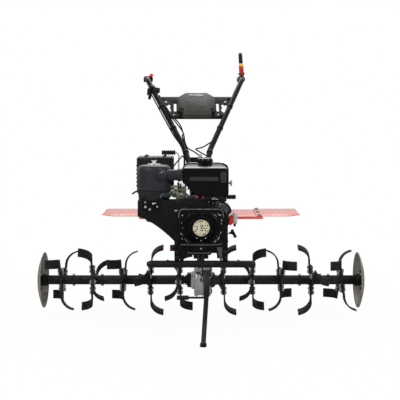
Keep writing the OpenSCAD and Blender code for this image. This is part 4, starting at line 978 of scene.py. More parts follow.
class TILLER_OT_starter(bpy.types.Operator):
    """The slotted starter cover, its perforated screen, the blower housing and their screws"""

    bl_idname = "tiller.starter"
    bl_label = "Starter"

    def execute(self, context):
        middle = place(0, 0, CRANK_Z)
        plate = slab("plate", upright(rim(160, 140, 40), -384, 0, CRANK_Z), (0, 0.02, 0))
        soften(plate, 0.006, 4)
        dome = lathe("dome", [
            (0, 0), (70, 0), (68, 7), (62, 10), (58, 8.5), (54, 10), (50, 11.5), (44, 12.5), (40, 10.5),
            (36.5, 12.8), (34, 13.5), (34, 9.5), (0, 9.5)
        ], place(0, -384, CRANK_Z), -Y_AXIS, 72)
        tools = []
        for a in around(24):
            tools.append(self.slot_tool(middle, a, 0.0425, 0.0500, 0.0036))
            tools.append(self.slot_tool(middle, a, 0.0555, 0.0610, 0.0042))
        slots = join("slots", tools)
        cut(dome, slots)
        corners = []
        for cx, cz in ((-1, 1), (1, 1), (-1, -1), (1, -1)):
            a = math.atan2(cz, cx)
            for k in (-1, 0, 1):
                out = Vector((cx * 0.058, 0, cz * 0.049)) + Vector((-cz * cx * 0.010 * k, 0, 0.010 * k))
                corners.append(self.bar_tool(middle + out, a, 0.016, 0.0036))
        cut(plate, join("corner_slots", corners))
        soften(dome, 0.0006, 2, 50)
        # The starter's shell, with a painted highlight along its edges.
        dress(join("starter_shell", [plate, dome]), "highlight_edged_plastic", "starter_cover")
        self.screen()
        self.housing()
        screws = [(place(x, -384, CRANK_Z + z), -Y_AXIS) for x, z in ((-72, 45), (73, 46), (84, -58))]
        screws += [(place(x, -396, CRANK_Z - z), -Y_AXIS) for x, z in ((-17, 41), (17, 41), (0, 51))]
        studs("starter_screws", screws, key="bright", radius=0.0030, washer=False)
        return {"FINISHED"}

    def slot_tool(self, middle, a, inner, outer, width):
        """A radial slot through the dome."""
        obj = box("slot", (inner, -0.004, -width / 2), (outer, 0.03, width / 2))
        return moved(obj, Matrix.Translation(middle + Vector((0, -0.398, 0))) @ Matrix.Rotation(-a, 4, "Y"))

    def bar_tool(self, centre, a, length, width):
        """A slanted slot near the plate's corner."""
        obj = box("slot", (-length / 2, -0.01, -width / 2), (length / 2, 0.012, width / 2))
        turn = Matrix.Rotation(-a - math.pi / 2, 4, "Y")
        return moved(obj, Matrix.Translation(centre + Vector((0, -0.382, 0))) @ turn)

    def screen(self):
        """A pressed cup with holes, over the pulley."""
        cup = lathe("cup", [
            (0, 3), (12, 3.2), (26, 2.8), (31, 1.4), (33, -2), (33, -5), (31.5, -5), (31.5, -1.6),
            (26, 0.4), (0, 0.6)
        ], place(SCREEN_X, -396, SCREEN_Z), -Y_AXIS, 64)
        holes = []
        for count, ring in ((1, 0.001), (6, 0.0095), (11, 0.0178), (14, 0.0258)):
            for k in range(count):
                if (k * 5 + count) % 7 == 0:
                    continue
                a = FULL_TURN * (k + 0.14 * math.sin(2.3 * k + count)) / count
                reach = ring + 0.0004 * math.sin(3.1 * k + 0.7 * count)
                spot = place(SCREEN_X, -392, SCREEN_Z) + Vector(
                    (reach * math.cos(a), 0, reach * math.sin(a)))
                holes.append(rod(
                    "hole", spot, spot - Y_AXIS * 0.012, 0.0026 + 0.0008 * math.sin(1.7 * k + count), 12))
        cut(cup, join("holes", holes))
        dress(soften(cup, 0.0003, 2, 50), "zinc", "starter_screen")
        back = rod("dark", place(SCREEN_X, -388, SCREEN_Z), place(SCREEN_X, -391.5, SCREEN_Z), 0.031, 48)
        dress(soften(back, 0.0005), "black_casting")

    def housing(self):
        """The blower housing with rounded edges, a bare label place and screws."""
        refined("blower_housing", "plastic", 0.005, 4, 45)
        label = slab("label", upright(rim(72, 36, 6), -364.2, -192, 505), (0, -0.0012, 0))
        dress(soften(label, 0.0005), "gloss_plastic")
        bar = slab("label_bar", upright(rim(20, 5, 2), -364.2, -93, 487), (0, -0.0016, 0))
        dress(soften(bar, 0.0006), "grey_plastic")
        lever = [
            rod("lever_pin", place(-214, -364, 519), place(-214, -370, 519), 0.0032, 20),
            box("lever_arm", place(-219, -369, 497), place(-209, -367, 502)),
            rod("lever_pin", place(-214, -364, 504), place(-214, -370, 504), 0.0028, 20),
            box("lever_arm", place(-187, -370, 513), place(-172, -368, 518)),
            rod("lever_pin", place(-184, -364, 514), place(-184, -372, 514), 0.0042, 20),
            rod("lever_pin", place(-168, -364, 502), place(-168, -371, 502), 0.0035, 20),
            rod("lever_knob", place(-197, -364, 492), place(-197, -372, 492), 0.0045, 20),
            rod("lever_pin", place(-239, -350, 502), place(-243.5, -350, 502), 0.0040, 20),
        ]
        dress(join("choke_and_tap", softened(lever, 0.0008)), "bright")
        self.shroud()
        self.lines()
        spots = [(place(x, -364, z), -Y_AXIS) for x, z in (
            (-226, 480), (-226, 512), (-40, 514), (-150, 420), (-100, 375), (-88, 516))]
        studs("blower_screws", spots, key="frame_paint", radius=0.0042)

    def shroud(self):
        """The ribbed shoulder of the shroud beside the starter, its ribs drawn as grey lines for a painted
        highlight.
        """
        outline = upright((
            (46, 532), (73, 524), (90, 518), (104, 509), (113, 498), (119, 484), (115, 474), (102, 468),
            (77, 484), (46, 499)
        ), -352)
        shoulder = soften(slab("shoulder", outline, (0, 0.050, 0)), 0.004, 4)
        dress(shoulder, "highlight_edged_plastic")
        # The ribs are thin grey tubes: raised ribs, each with a painted highlight along it.
        ribs = []
        for path in (
            ((57, 520), (71, 517), (85, 511), (97, 503), (104, 493), (109, 481)),
            ((56, 514), (69, 512), (82, 507), (92, 500), (100, 490), (103, 479)),
            ((55, 509), (67, 507), (79, 502), (88, 496), (95, 488), (98, 478)),
            ((55, 504), (65, 502), (75, 498), (84, 493), (90, 485), (93, 477)),
        ):
            ribs.append(shade(tube("rib", rounded(upright(path, -352), 0.01), 0.0014, 3)))
        dress(join("shoulder_rib_highlights", ribs), "highlight_line")

    def lines(self):
        """Light grey lines on the starter's cover: painted highlights."""
        ridges = [
            rod("ridge", place(x0, -385.5, z0), place(x1, -385.5, z1), 0.0016, 8)
            for x0, z0, x1, z1 in (
                (-55, 466, -47, 473), (-49, 456, -45, 461), (39, 485, 45, 482), (49, 476, 60, 465),
                (64, 478, 70, 470), (78, 456, 79, 447), (77, 442, 78, 434), (77, 409, 74, 400),
                (70, 387, 64, 376), (56, 373, 51, 367), (-78, 403, -74, 395), (-75, 384, -70, 376),
                (-75, 444, -74, 439), (-71, 426, -71, 419), (-60, 378, -54, 370), (21, 478, 28, 474),
                (-41, 372, -33, 366))]
        dress(join("cover_highlight_lines", softened(ridges, 0.0004)), "highlight_and_label_grey")
        # Grey arcs round the slots: painted highlights.
        arcs = []
        for reach, low, high in (
            (76, 196, 242), (76, 298, 346), (60, 24, 66), (60, 118, 156), (68, 200, 236), (68, 304, 340)
        ):
            turns = [math.radians(a) for a in range(low, high, 4)]
            outline = [(reach * math.cos(a), reach * math.sin(a)) for a in turns]
            arc = upright(outline, -385, SCREEN_X, SCREEN_Z)
            arcs.append(shade(tube("arc", arc, 0.0010, 2)))
        dress(join("cover_highlight_arcs", arcs), "highlight_line")


class TILLER_OT_tank(bpy.types.Operator):
    """The fuel tank with its seam, bare label places, knob and cap"""

    bl_idname = "tiller.tank"
    bl_label = "Fuel tank"

    def execute(self, context):
        body = slab("tank_body", upright((
            (69, 0), (168.5, 0), (178, 10.5), (178, 94), (174.5, 108), (165, 118.5), (149, 124),
            (21, 124), (7.5, 117.5), (0, 105), (0, 57)
        ), -352, -72, 536), (0, 0.19, 0))
        cut(body, slab("slope", [
            place(-80, y, z) for y, z in ((-360, 648), (-266, 660.5), (-266, 676), (-360, 676))
        ], (0.2, 0, 0)))
        dress(soften(body, 0.015, 6, 12), "enamel", "fuel_tank")
        outline = [
            (67.6, -3), (170, -3), (181, 9), (181, 104), (175, 119), (160, 127), (20, 127), (5, 120),
            (-3, 106), (-3, 56)]
        seam = slab("tank_seam", upright(outline, -262, -72, 536), (0, 0.004, 0))
        dress(soften(seam, 0.0012), "enamel")
        pane = slab("tank_pane", upright(rim(148, 50, 9), -350.5, 26, 620), (0, -0.0035, 0))
        dress(soften(pane, 0.0025, 4), "enamel")
        badge = slab("tank_badge", upright(rim(112, 16, 5), -353.5, 11, 608), (0, -0.003, 0))
        dress(soften(badge, 0.0012), "badge")
        pad = slab("tank_pad", upright(
            ((-10, -22), (10, -22), (12, -10), (12, 16), (2, 22), (-8, 20), (-13, 8)), -353.5, 86, 615
        ), (0, -0.003, 0))
        dress(soften(pad, 0.0012), "badge")
        knob = lathe(
            "tank_knob", [(0, 0), (4, 0), (4, 6), (10.5, 8), (12, 11), (11, 14), (0, 15)],
            place(106, -316, 589), X_AXIS, 32)
        dress(shade(knob), "grey_plastic")
        self.cap()
        straps = [box("strap", place(x, -358, 532), place(x + 24, -356, 540)) for x in (14, 62)]
        dress(join("tank_feet", softened(straps, 0.0008)), "frame_paint")
        return {"FINISHED"}

    def cap(self):
        """A ribbed filler cap."""
        seat = place(16, -250, 660)
        profile = [(0, 1), (27, 1), (29.5, 4), (29.5, 17), (27, 21), (18, 23.5), (0, 24)]
        cap = shade(lathe("cap", profile, seat, Z_AXIS, 64))
        rib = box("rib", (0.0285, -0.0012, 0.005), (0.0305, 0.0012, 0.016))
        soften(rib, 0.0004, 2)
        ribs = repeat("ribs", rib, [
            Matrix.Translation(seat) @ Matrix.Rotation(a, 4, "Z") for a in around(28, 0)])
        dress(join("filler_cap", [cap, ribs]), "gloss_plastic", "fuel_cap")
        neck = lathe(
            "neck", [(22, 0), (34, 0), (35, 1.5), (33, 3), (22, 3)], place(16, -250, 659.6), Z_AXIS, 56)
        dress(shade(neck), "frame_paint")


class TILLER_OT_air_cleaner(bpy.types.Operator):
    """The air cleaner's bowl, lid, wing nut and snorkel"""

    bl_idname = "tiller.air_cleaner"
    bl_label = "Air cleaner"

    def execute(self, context):
        foot = place(-183, -300, 526)
        bowl = lathe("bowl", [
            (0, 0), (59.5, 0), (61, 2), (63.2, 29), (64.8, 31), (65, 33), (65, 34.5), (63, 35.5),
            (0, 35.5)
        ], foot, Z_AXIS, 72)
        dress(shade(bowl), "bowl_plastic", "air_cleaner_bowl")
        lid = lathe("lid", [
            (0, 36), (65.5, 36), (67, 38), (67, 43), (65.5, 45), (65.5, 112), (64, 121), (60, 127.5),
            (51, 131.8), (26, 134), (0, 134.6)
        ], foot, Z_AXIS, 72)
        dress(shade(lid), "lid_plastic", "air_cleaner_lid")
        plate = lathe("plate", [
            (0, 134.2), (26, 133.6), (27, 134.8), (26, 136.5), (10, 137.5), (7.5, 141), (6.5, 148),
            (0, 149)
        ], foot, Z_AXIS, 48)
        shade(plate)
        wings = []
        for side in (-1, 1):
            wing = slab("wing", [foot + Vector((side * x * MM, -0.0016, z * MM)) for x, z in (
                (2, 140), (5, 141), (9, 145), (10.5, 150), (8, 152), (5, 150), (2, 146))], (0, 0.0032, 0))
            wings.append(soften(wing, 0.0012))
            clip = box(
                "cross", foot + Vector((-0.0016, side * 0.003 - 0.002, 0.139)),
                foot + Vector((0.0016, side * 0.006 + 0.002, 0.1475)))
            wings.append(soften(clip, 0.0012))
        dress(join("wing_nut", [plate] + wings), "bright")
        self.snorkel()
        return {"FINISHED"}

    def snorkel(self):
        """The intake pipe on the lid, with its thicker mouth and a round boss."""
        start = place(-146, -338, 622)
        pipe = lathe("pipe", [
            (20.5, 0), (21, 53), (24, 56), (24.5, 58), (24.5, 70), (23, 72), (17.5, 72), (17, 55),
            (17, 10), (0, 10)
        ], start, X_AXIS, 56)
        shade(pipe)
        boss = lathe(
            "boss", [(0, 26), (13, 25.5), (17.5, 23), (19.5, 18.5), (20, 12), (20, 0), (0, 0)],
            place(-151, -346, 621), -Y_AXIS, 48)
        shade(boss)
        studs(
            "intake_screw", [(place(-151, -369.5, 633), -Y_AXIS)], key="bright", radius=0.0026,
            washer=False)
        dress(join("intake", [pipe, boss]), "lid_plastic", "air_snorkel")


class TILLER_OT_carburettor(bpy.types.Operator):
    """The carburettor with its bowl, links, springs and fuel hose"""

    bl_idname = "tiller.carburettor"
    bl_label = "Carburettor"

    def execute(self, context):
        throat = place(-94, -270, 558)
        body = [
            lathe("throat", [
                (12, -36), (18.5, -36), (19, -31), (15.5, -27), (15.5, 27), (19, 31), (18.5, 36), (12, 36)
            ], throat, X_AXIS, 40),
            lathe("bowl", [
                (0, -34), (6, -34), (7, -30), (18, -29), (21.5, -26), (22, -12), (23.5, -11), (23.5, -6),
                (0, -5)
            ], throat, Z_AXIS, 40),
            box("block", place(-112, -288, 546), place(-76, -252, 576)),
            rod("pipe", place(-72, -270, 496), place(-72, -270, 558), 0.014, 28)]
        dress(join("carburettor_body", softened(body, 0.0012)), "carburettor", "carburettor")
        gold = [
            box("plate", place(-100, -296, 552), place(-66, -294, 566)),
            box("plate", place(-120, -300, 540), place(-84, -298, 547)),
            rod("screw", place(-104, -288, 570), place(-104, -306, 570), 0.005, 18),
            rod("screw", place(-84, -288, 578), place(-84, -300, 578), 0.004, 18),
            box("arm", place(-80, -304, 545), place(-76, -302, 590)),
            box("arm", place(-112, -306, 556), place(-84, -304, 561)),
            rod("jet", place(-94, -270, 518), place(-94, -270, 526), 0.006, 6),
        ]
        dress(join("carburettor_levers", softened(gold, 0.0008)), "green_zinc")
        cover = lathe("choke_cover", [
            (0, -22), (6, -21.5), (9, -17), (10.5, -8), (10.5, 10), (8.5, 18), (5, 21), (0, 21.5)
        ], place(-135, -352, 546), X_AXIS, 32)
        dress(shade(cover), "sea_plastic")
        # A bright tip at the cover's left end: a painted highlight.
        tip = rod("choke_highlight_tip", place(-155, -352, 541), place(-161, -352, 539), 0.0055, 18, 0.0035)
        dress(soften(tip, 0.0008), "bright")
        # Small pale chips on the carburettor: painted highlights.
        chips = [box("chip", place(x, -336, z), place(x + w, -330, z + h)) for x, z, w, h in (
            (-118, 558, 14, 5), (-101, 566, 9, 8), (-109, 547, 5, 9), (-86, 545, 12, 6), (-94, 553, 5, 5),
            (-76, 548, 5, 4))]
        dress(join("carburettor_highlights", softened(chips, 0.0014)), "pale_highlight")
        arms = [
            rod("arm", place(-91, -332, 592), place(-86, -332, 566), 0.0024, 14),
            rod("arm", place(-82, -332, 588), place(-79, -332, 570), 0.0018, 14),
            rod("arm", place(-100, -334, 562), place(-74, -334, 556), 0.0022, 14),
            rod("arm", place(-112, -334, 551), place(-96, -334, 545), 0.0026, 14),
        ]
        dress(join("choke_arms", softened(arms, 0.0005)), "frame_paint")
        links = [
            tube("link", rounded([
                place(-78, -306, 548), place(-40, -308, 538), place(20, -312, 534), place(70, -316, 530)
            ], 0.01), 0.0012, 4),
            tube("link", rounded(
                [place(-100, -308, 572), place(-70, -312, 584), place(-52, -312, 560)], 0.008
            ), 0.0012, 4),
            self.spring(place(-60, -310, 540), place(-10, -312, 536), 0.003),
            self.spring(place(40, -316, 528), place(84, -316, 520), 0.0032),
            box("governor", place(68, -320, 508), place(76, -318, 534)),
            box("governor", place(52, -321, 522), place(100, -319, 530)),
            box("governor", place(84, -322, 498), place(91, -320, 526))]
        for piece in links[4:]:
            soften(piece, 0.0008)
        dress(join("governor_links", links), "bright")
        hose = tube("fuel_hose", rounded([
            place(-60, -250, 540), place(-40, -248, 522), place(-30, -240, 548), place(-28, -232, 566)
        ], 0.02), 0.005, 5)
        dress(shade(hose), "rubber")
        reds = [lathe(
            "button", [(0, 0), (3.4, 0), (3.6, 2), (3, 5), (0, 5.6)], place(x, -358, z), -Y_AXIS, 24
        ) for x, z in ((-16, 538), (8, 538))]
        for piece in reds:
            shade(piece)
        dress(join("governor_caps", reds), "red_plastic")
        specks = [rod("speck", place(x, -356, z), place(x, -360, z), r * MM, 14) for x, z, r in (
            (44, 533, 2.2), (52, 535, 2.6), (60, 531, 2.0), (46, 516, 2.0), (74, 510, 2.4),
            (30, 520, 1.8), (-36, 512, 2.0))]
        specks.append(box("speck_bar", place(40, -359, 529), place(66, -357, 531.5)))
        dress(join("governor_screws", softened(specks, 0.0004)), "bright")
        rail = box("rail", place(-70, -350, 520), place(98, -302, 534))
        dress(soften(rail, 0.003), "black_casting")
        return {"FINISHED"}

    def spring(self, start, end, radius, turns=12):
        """A wound wire between two points."""
        way = (end - start).normalized()
        side = way.orthogonal().normalized()
        up = way.cross(side)
        points = []
        for k in range(turns * 10 + 1):
            a = FULL_TURN * k / 10
            points.append(
                start.lerp(end, k / (turns * 10)) + (side * math.cos(a) + up * math.sin(a)) * radius)
        return tube("spring", points, 0.0007, 2)


class TILLER_OT_muffler(bpy.types.Operator):
    """The muffler's louvred shield with its screws and hook, and the cylinder with its plug and lead"""

    bl_idname = "tiller.muffler"
    bl_label = "Muffler"

    def execute(self, context):
        shield = slab("shield", upright(rim(146, 146, 8), -226, -183, 611), (0, 0.112, 0))
        dress(soften(shield, 0.016, 6, 40), "shield", "muffler_shield")
        louvre = slab(
            "louvre", [(0, 0, 0), (-0.004, 0, -0.001), (-0.0045, 0, -0.004), (0, 0, -0.008)],
            (0, 0.056, 0))
        soften(louvre, 0.0008)
        places = [Matrix.Translation(place(-256, -198, 570 + 16.3 * k)) for k in range(6)]
        dress(repeat("side_louvres", louvre, places), "shield")
        front = slab(
            "louvre", [(0, 0, 0), (0, -0.004, -0.001), (0, -0.0045, -0.004), (0, 0, -0.008)],
            (0.022, 0, 0))
        soften(front, 0.0008)
        places = [Matrix.Translation(place(-248, -226, 566 + 13 * k)) for k in range(8)]
        places += [Matrix.Translation(place(-140, -226, 600 + 13 * k)) for k in range(5)]
        dress(repeat("front_louvres", front, places), "shield")
        spots = [(place(x, y, 684), Z_AXIS) for x in (-220, -146) for y in (-206, -134)]
        studs("shield_screws", spots, key="guard_paint", radius=0.0065)
        self.head()
        hook = tube("hook", rounded(
            [place(-232, -170, 540), place(-262, -176, 543), place(-278, -180, 533)], 0.01
        ), 0.0034, 4)
        dress(shade(hook), "frame_paint")
        return {"FINISHED"}

    def head(self):
        """The finned cylinder, its head bolts, the plug and its lead."""
        refined("cylinder", "casting_dark", 0.001, 2, 40)
        lean = math.radians(13)
        way = Vector((-math.cos(lean), 0, math.sin(lean)))
        top = place(0, -204, CRANK_Z) + way * 0.213
        up = Vector((math.sin(lean), 0, math.cos(lean)))
        spots = [(top + up * z + Y_AXIS * y, way) for y in (-0.027, 0.027) for z in (-0.034, 0.034)]
        studs("head_bolts", spots)
        plug = [
            lathe("plug", [(0, 0), (10, 0), (10, 10), (6, 11), (5, 24), (0, 25)], top - up * 0.01, way, 6),
            rod("boot", top + way * 0.012 - up * 0.01, top + way * 0.036 - up * 0.01, 0.009, 20, 0.007),
        ]
        for piece in plug:
            soften(piece, 0.001)
        start = top + way * 0.034 - up * 0.01
        lead = tube("lead", rounded([
            start, start + Vector((-0.004, -0.006, 0.0)), start + Vector((0.012, -0.05, -0.02)),
            place(-170, -302, 470)
        ], 0.02), 0.0035, 4)
        shade(lead)
        dress(join("spark_plug", plug + [lead]), "rubber")


class TILLER_OT_engine_fittings(bpy.types.Operator):
    """The switch, the oil filler, the starter's handle, and the bolts of the crankcase and bell"""

    bl_idname = "tiller.engine_fittings"
    bl_label = "Engine fittings"

    def execute(self, context):
        red = slab("switch_red", upright((
            (0, 6), (8, 0), (20, 10), (20, 40), (12, 40), (4, 24)), -330, 106, 424), (0, 0.044, 0))
        dress(soften(red, 0.002), "red_plastic", "engine_switch")
        grey = slab("switch_grey", upright(
            ((0, 0), (11, -2), (15.5, 2), (15.5, 36), (12, 43), (0, 44)), -333, 125, 430
        ), (0, 0.047, 0))
        dress(soften(grey, 0.003, 3), "grey_plastic")
        base = box("switch_base", place(96, -326, 424), place(108, -292, 474))
        soften(base, 0.002)
        key = rod("switch_knob", place(130, -333, 428), place(130, -342, 427), 0.005, 24)
        soften(key, 0.001)
        dress(join("switch_fittings", [base, key]), "plastic")
        self.filler()
        self.handle()
        self.bolts()
        return {"FINISHED"}

    def filler(self):
        """The oil filler's neck and its winged dipstick cap."""
        way = Vector((math.cos(math.radians(35)), 0, math.sin(math.radians(35))))
        start = place(73, -262, 342)
        neck = lathe("filler_neck", [
            (0, -8), (13.5, -8), (13.5, 4), (11, 8), (11, 22), (12.5, 23), (12.5, 26), (0, 26)
        ], start, way, 32)
        dress(shade(neck), "black_casting", "oil_filler")
        cap = lathe(
            "filler_lid", [(0, 26), (13.8, 26.5), (14, 32), (12.5, 35), (6, 36.5), (0, 36.5)], start, way,
            32)
        shade(cap)
        wing = rod(
            "filler_wing", start + way * 0.034 - Y_AXIS * 0.011, start + way * 0.034 + Y_AXIS * 0.011,
            0.006, 20)
        soften(wing, 0.002)
        dress(join("dipstick", [cap, wing]), "plastic")

    def handle(self):
        """The starter's pull handle on its cord."""
        lean = Vector((0.45, 0, -0.9)).normalized()
        grip = lathe("pull", [
            (0, -17), (5, -17), (6.6, -14), (5.2, -5), (6.2, 0), (5.2, 5), (6.6, 14), (5, 17), (0, 17)
        ], place(126, -352, 396), lean, 28)
        shade(grip)
        eye = rod("pull_neck", place(108, -352, 400), place(125, -352, 396), 0.0038, 16, 0.0050)
        soften(eye, 0.001)
        dress(join("pull_handle", [grip, eye]), "plastic", "starter_grip")
        guide = lathe(
            "rope_guide", [(3, 0), (9, 0), (9.5, 3), (6, 10), (3, 10)], place(92, -352, 396), X_AXIS, 28)
        dress(shade(guide), "steel")
        cord = rod("rope", place(90, -352, 396), place(112, -352, 396), 0.0022, 10)
        dress(soften(cord, 0.0004), "grey_plastic")

    def bolts(self):
        """Bolts of the crankcase cover, the feet and the bell's flange, with ribs on the crankcase."""
        refined("crankcase", "casting_dark", 0.004, 3, 40)
        ribs = [box("rib", place(87, -300 + 22 * k, 345), place(92, -296 + 22 * k, 480)) for k in range(7)]
        ribs += [
            box("rib", place(-60 + 24 * k, -304, 345), place(-56 + 24 * k, -301, 480)) for k in range(6)]
        cover = slab("side_cover", upright(rim(164, 130, 30), -148, 0, 410), (0, 0.01, 0))
        for piece in ribs + [cover]:
            soften(piece, 0.0015, 2)
        dress(join("crankcase_ribs", ribs + [cover]), "casting_dark")
        spots = []
        for a in around(8):
            spots.append((place(86 * math.cos(a), -128, CRANK_Z + 86 * math.sin(a)), Y_AXIS))
        for x in (-72, 72):
            for y in (-290, -160):
                spots.append((place(x, y, 336), Z_AXIS))
        studs("engine_bolts", spots)
        drain = [(place(88, -190, 344), X_AXIS), (place(-60, -302, 344), -Y_AXIS)]
        studs("drain_plugs", drain, radius=0.010)


class TILLER_OT_front_guard(bpy.types.Operator):
    """The front guard's hoop, its base plate, the bumper bar and their bolts"""

    bl_idname = "tiller.front_guard"
    bl_label = "Front guard"

    def execute(self, context):
        self.hoop()
        self.bumper()
        base = slab("guard_base", upright((
            (-80, 352), (-74, 336), (-66, 327), (36, 327), (42, 337), (48, 346), (60, 350), (80, 354),
            (80, 366), (-80, 366)
        ), -446), (0, 0.012, 0))
        soften(base, 0.002)
        fold = slab(
            "guard_fold", upright(((-56, 331), (32, 331), (38, 336), (34, 340), (-58, 340)), -450),
            (0, 0.006, 0))
        soften(fold, 0.0025, 3)
        base = join("guard_base", [base, fold])
        dress(base, "guard_paint", "guard_bar")
        lip = slab(
            "guard_lip", upright(((-80, 362), (80, 362), (80, 371), (-80, 371)), -452), (0, 0.022, 0))
        dress(soften(lip, 0.003), "guard_paint")
        # Thin grey tubes along the base's folds: painted highlights.
        folds = [
            rounded(upright(((-78, 368), (-40, 367), (0, 366), (40, 367), (78, 369)), -453), 0.01),
            rounded(upright(((-52, 338), (-40, 335), (24, 335), (34, 339)), -451), 0.01),
        ]
        folds = [shade(tube("fold", path, 0.0026, 4)) for path in folds]
        dress(join("base_fold_highlights", folds), "gusset")
        gussets = []
        for side in (-1, 1):
            gussets.append(slab("gusset", [place(side * x, -448, z) for x, z in (
                (80, 306), (72 if side > 0 else 66, 306), (62, 344), (58, 358), (80, 358))], (0, 0.005, 0)))
        # The right gusset takes the lighter grey: painted light on that side.
        for piece, key in zip(gussets, ("guard_paint", "gusset")):
            dress(soften(piece, 0.0012), key)
        # The bracket in darkened red: red paint with its shade painted in.
        bracket = box("red_bracket", place(-118, -432, 340), place(-99, -412, 362))
        dress(soften(bracket, 0.002), "shaded_red")
        spots = [(place(0, -446, 352), -Y_AXIS)]
        studs("guard_bolts", spots, key="bright", radius=0.0034, washer=False)
        spots = [(place(side * 91, -451, z), -Y_AXIS) for side in (-1, 1) for z in (318, 340)]
        studs("post_bolts", spots, key="frame_paint", radius=0.006)
        return {"FINISHED"}

    def hoop(self):
        """One bent flat tube for the posts and the top."""
        path = rounded(
            [place(-91, -440, 303), place(-91, -440, 496), place(91, -440, 496), place(91, -440, 303)],
            0.026, 10)
        chain_points = []
        half = 0.010
        for k, point in enumerate(path):
            before = path[max(k - 1, 0)]
            after = path[min(k + 1, len(path) - 1)]
            way = (after - before).normalized()
            chain_points.append((point, Vector((-way.z, 0, way.x))))
        outline = [p + n * half for p, n in chain_points] + [
            p - n * half for p, n in reversed(chain_points)]
        outline = [p - Y_AXIS * 0.011 for p in outline]
        hoop = slab("guard_hoop", outline, (0, 0.022, 0))
        dress(soften(hoop, 0.005, 4, 50), "guard_paint", "guard_post_left", "guard_post_right", "guard_top")
        # A thin grey line along the hoop's top edge: a painted highlight.
        crest = rounded(
            [place(-84, -451, 470), place(-82, -451, 502), place(82, -451, 502), place(84, -451, 470)],
            0.020, 8)
        crest = shade(tube("guard_top_highlight", crest, 0.0016, 3))
        dress(crest, "highlight_line", slot="black_paint")

    def bumper(self):
        """The bumper bar with drawn-in ends, and the stand's ears with their pin."""
        bar = lathe("bumper", [
            (0, -206), (7, -206), (8.5, -204.5), (13.2, -194), (13.5, -190), (13.5, 190), (13.2, 194),
            (8.5, 204.5), (7, 206), (0, 206)
        ], place(0, -440, 292), X_AXIS, 40)
        shade(bar)
        ears = []
        for side in (-1, 1):
            x = 20 + side * 14.5
            ears.append(slab("ear", [place(x - 2.5, -446 + y, 256 + z) for y, z in (
                (-13, 0), (-11, -7), (-7, -11), (0, -13), (7, -11), (11, -7), (13, 0), (13, 36), (-13, 36)
            )], (0.005, 0, 0)))
        for piece in ears:
            soften(piece, 0.001)
        dress(join("bumper_bar_piece", [bar] + ears), "frame_paint", "bumper_bar")
        left, right = place(3, -446, 256), place(37, -446, 256)
        studs("stand_pin", [(left, -X_AXIS), (right, X_AXIS)], radius=0.0085)
        pin = rod("stand_axle", left, right, 0.0049, 20)
        dress(soften(pin, 0.0004), "steel")
        spots = [(place(x, -454, 292), -Y_AXIS) for x in (-78, 78)]
        studs("bumper_bolts", spots, key="frame_paint", radius=0.008)


class TILLER_OT_mudguards(bpy.types.Operator):
    """Bolts, washers and stays of the mudguards"""

    bl_idname = "tiller.mudguards"
    bl_label = "Mudguards"

    def execute(self, context):
        spots = []
        for side in (-1, 1):
            for x, y in ((242, -92), (242, 20), (242, 132), (128, -90), (76, 40), (76, 110)):
                z = 436 if x == 242 else 433
                spots.append((place(side * x, y, z), Z_AXIS))
        studs("mudguard_bolts", spots)
        stays = []
        for side in (-1, 1):
            stays.append(box("stay", place(side * 56, 30, 424), place(side * 240, 52, 429.6)))
            stays.append(box("stay", place(side * 232, -96, 424), place(side * 250, 140, 429.6)))
        dress(join("mudguard_stays", softened(stays, 0.0012)), "frame_paint")
        return {"FINISHED"}


class TILLER_OT_stand(bpy.types.Operator):
    """The folding stand with its foot pad and pedal sleeve"""

    bl_idname = "tiller.stand"
    bl_label = "Stand"

    def execute(self, context):
        refined("stand_leg", "frame_paint", 0.0015, 2, 40)
        sleeve = lathe(
            "pedal_sleeve", [(0, 0), (7.8, 0), (8.5, 2), (8.5, 42), (7.8, 45), (0, 45)],
            self.pedal() - X_AXIS * 0.066, -X_AXIS, 28)
        dress(shade(sleeve), "rubber", body="stand")
        pad = lathe(
            "foot_pad", [(0, 0), (11.8, 0), (12.6, 1.5), (12.6, 9), (10.5, 13), (9, 13.5), (0, 13.5)],
            place(8, -545, 0), Z_AXIS, 32)
        dress(shade(pad), "frame_paint", body="stand")
        return {"FINISHED"}

    def pedal(self):
        """Where the pedal leaves the leg."""
        top, low = place(20, -446, 256), place(8, -545, 6.6)
        lean = math.atan2(top.y - low.y, top.z - low.z)
        joint = top - Vector((0, math.sin(lean), math.cos(lean))) * 0.086
        return joint.lerp(low, (joint.z - 0.171) / (joint.z - low.z))


class TILLER_OT_levers(bpy.types.Operator):
    """The gear lever and the second lever, with rubber grips"""

    bl_idname = "tiller.levers"
    bl_label = "Levers"

    def execute(self, context):
        gear = rounded(
            [place(-52, 18, 460), place(-94, 18, 460), place(-94, 18, 689), place(-164, 18, 689)], 0.014)
        bar = tube("gear_bar", gear, 0.003, 5)
        dress(shade(bar), "bright", "gear_lever")
        second = rounded(
            [place(52, 26, 460), place(82, 26, 460), place(82, 26, 500), place(146, 26, 500)], 0.014)
        bar = tube("second_bar", second, 0.004, 5)
        dress(shade(bar), "bright", "reverse_lever")
        self.grip("gear_grip", place(-108, 18, 689), -X_AXIS, 58)
        self.grip("second_grip", place(104, 26, 500), X_AXIS, 44)
        return {"FINISHED"}

    def grip(self, name, start, way, length):
        """A rubber grip with round ribs."""
        profile = [(0, 0), (7, 0)]
        ribs = 7
        for k in range(ribs):
            low = length * (k + 0.06) / ribs
            profile += [(7.5, low), (9.8, low + length * 0.02), (10, low + length * 0.06)]
            profile += [(9.8, low + length * 0.095), (7.5, low + length * 0.118)]
        profile += [(6, length), (0, length)]
        obj = shade(lathe(name, profile, start, way, 28))
        dress(obj, "rubber")


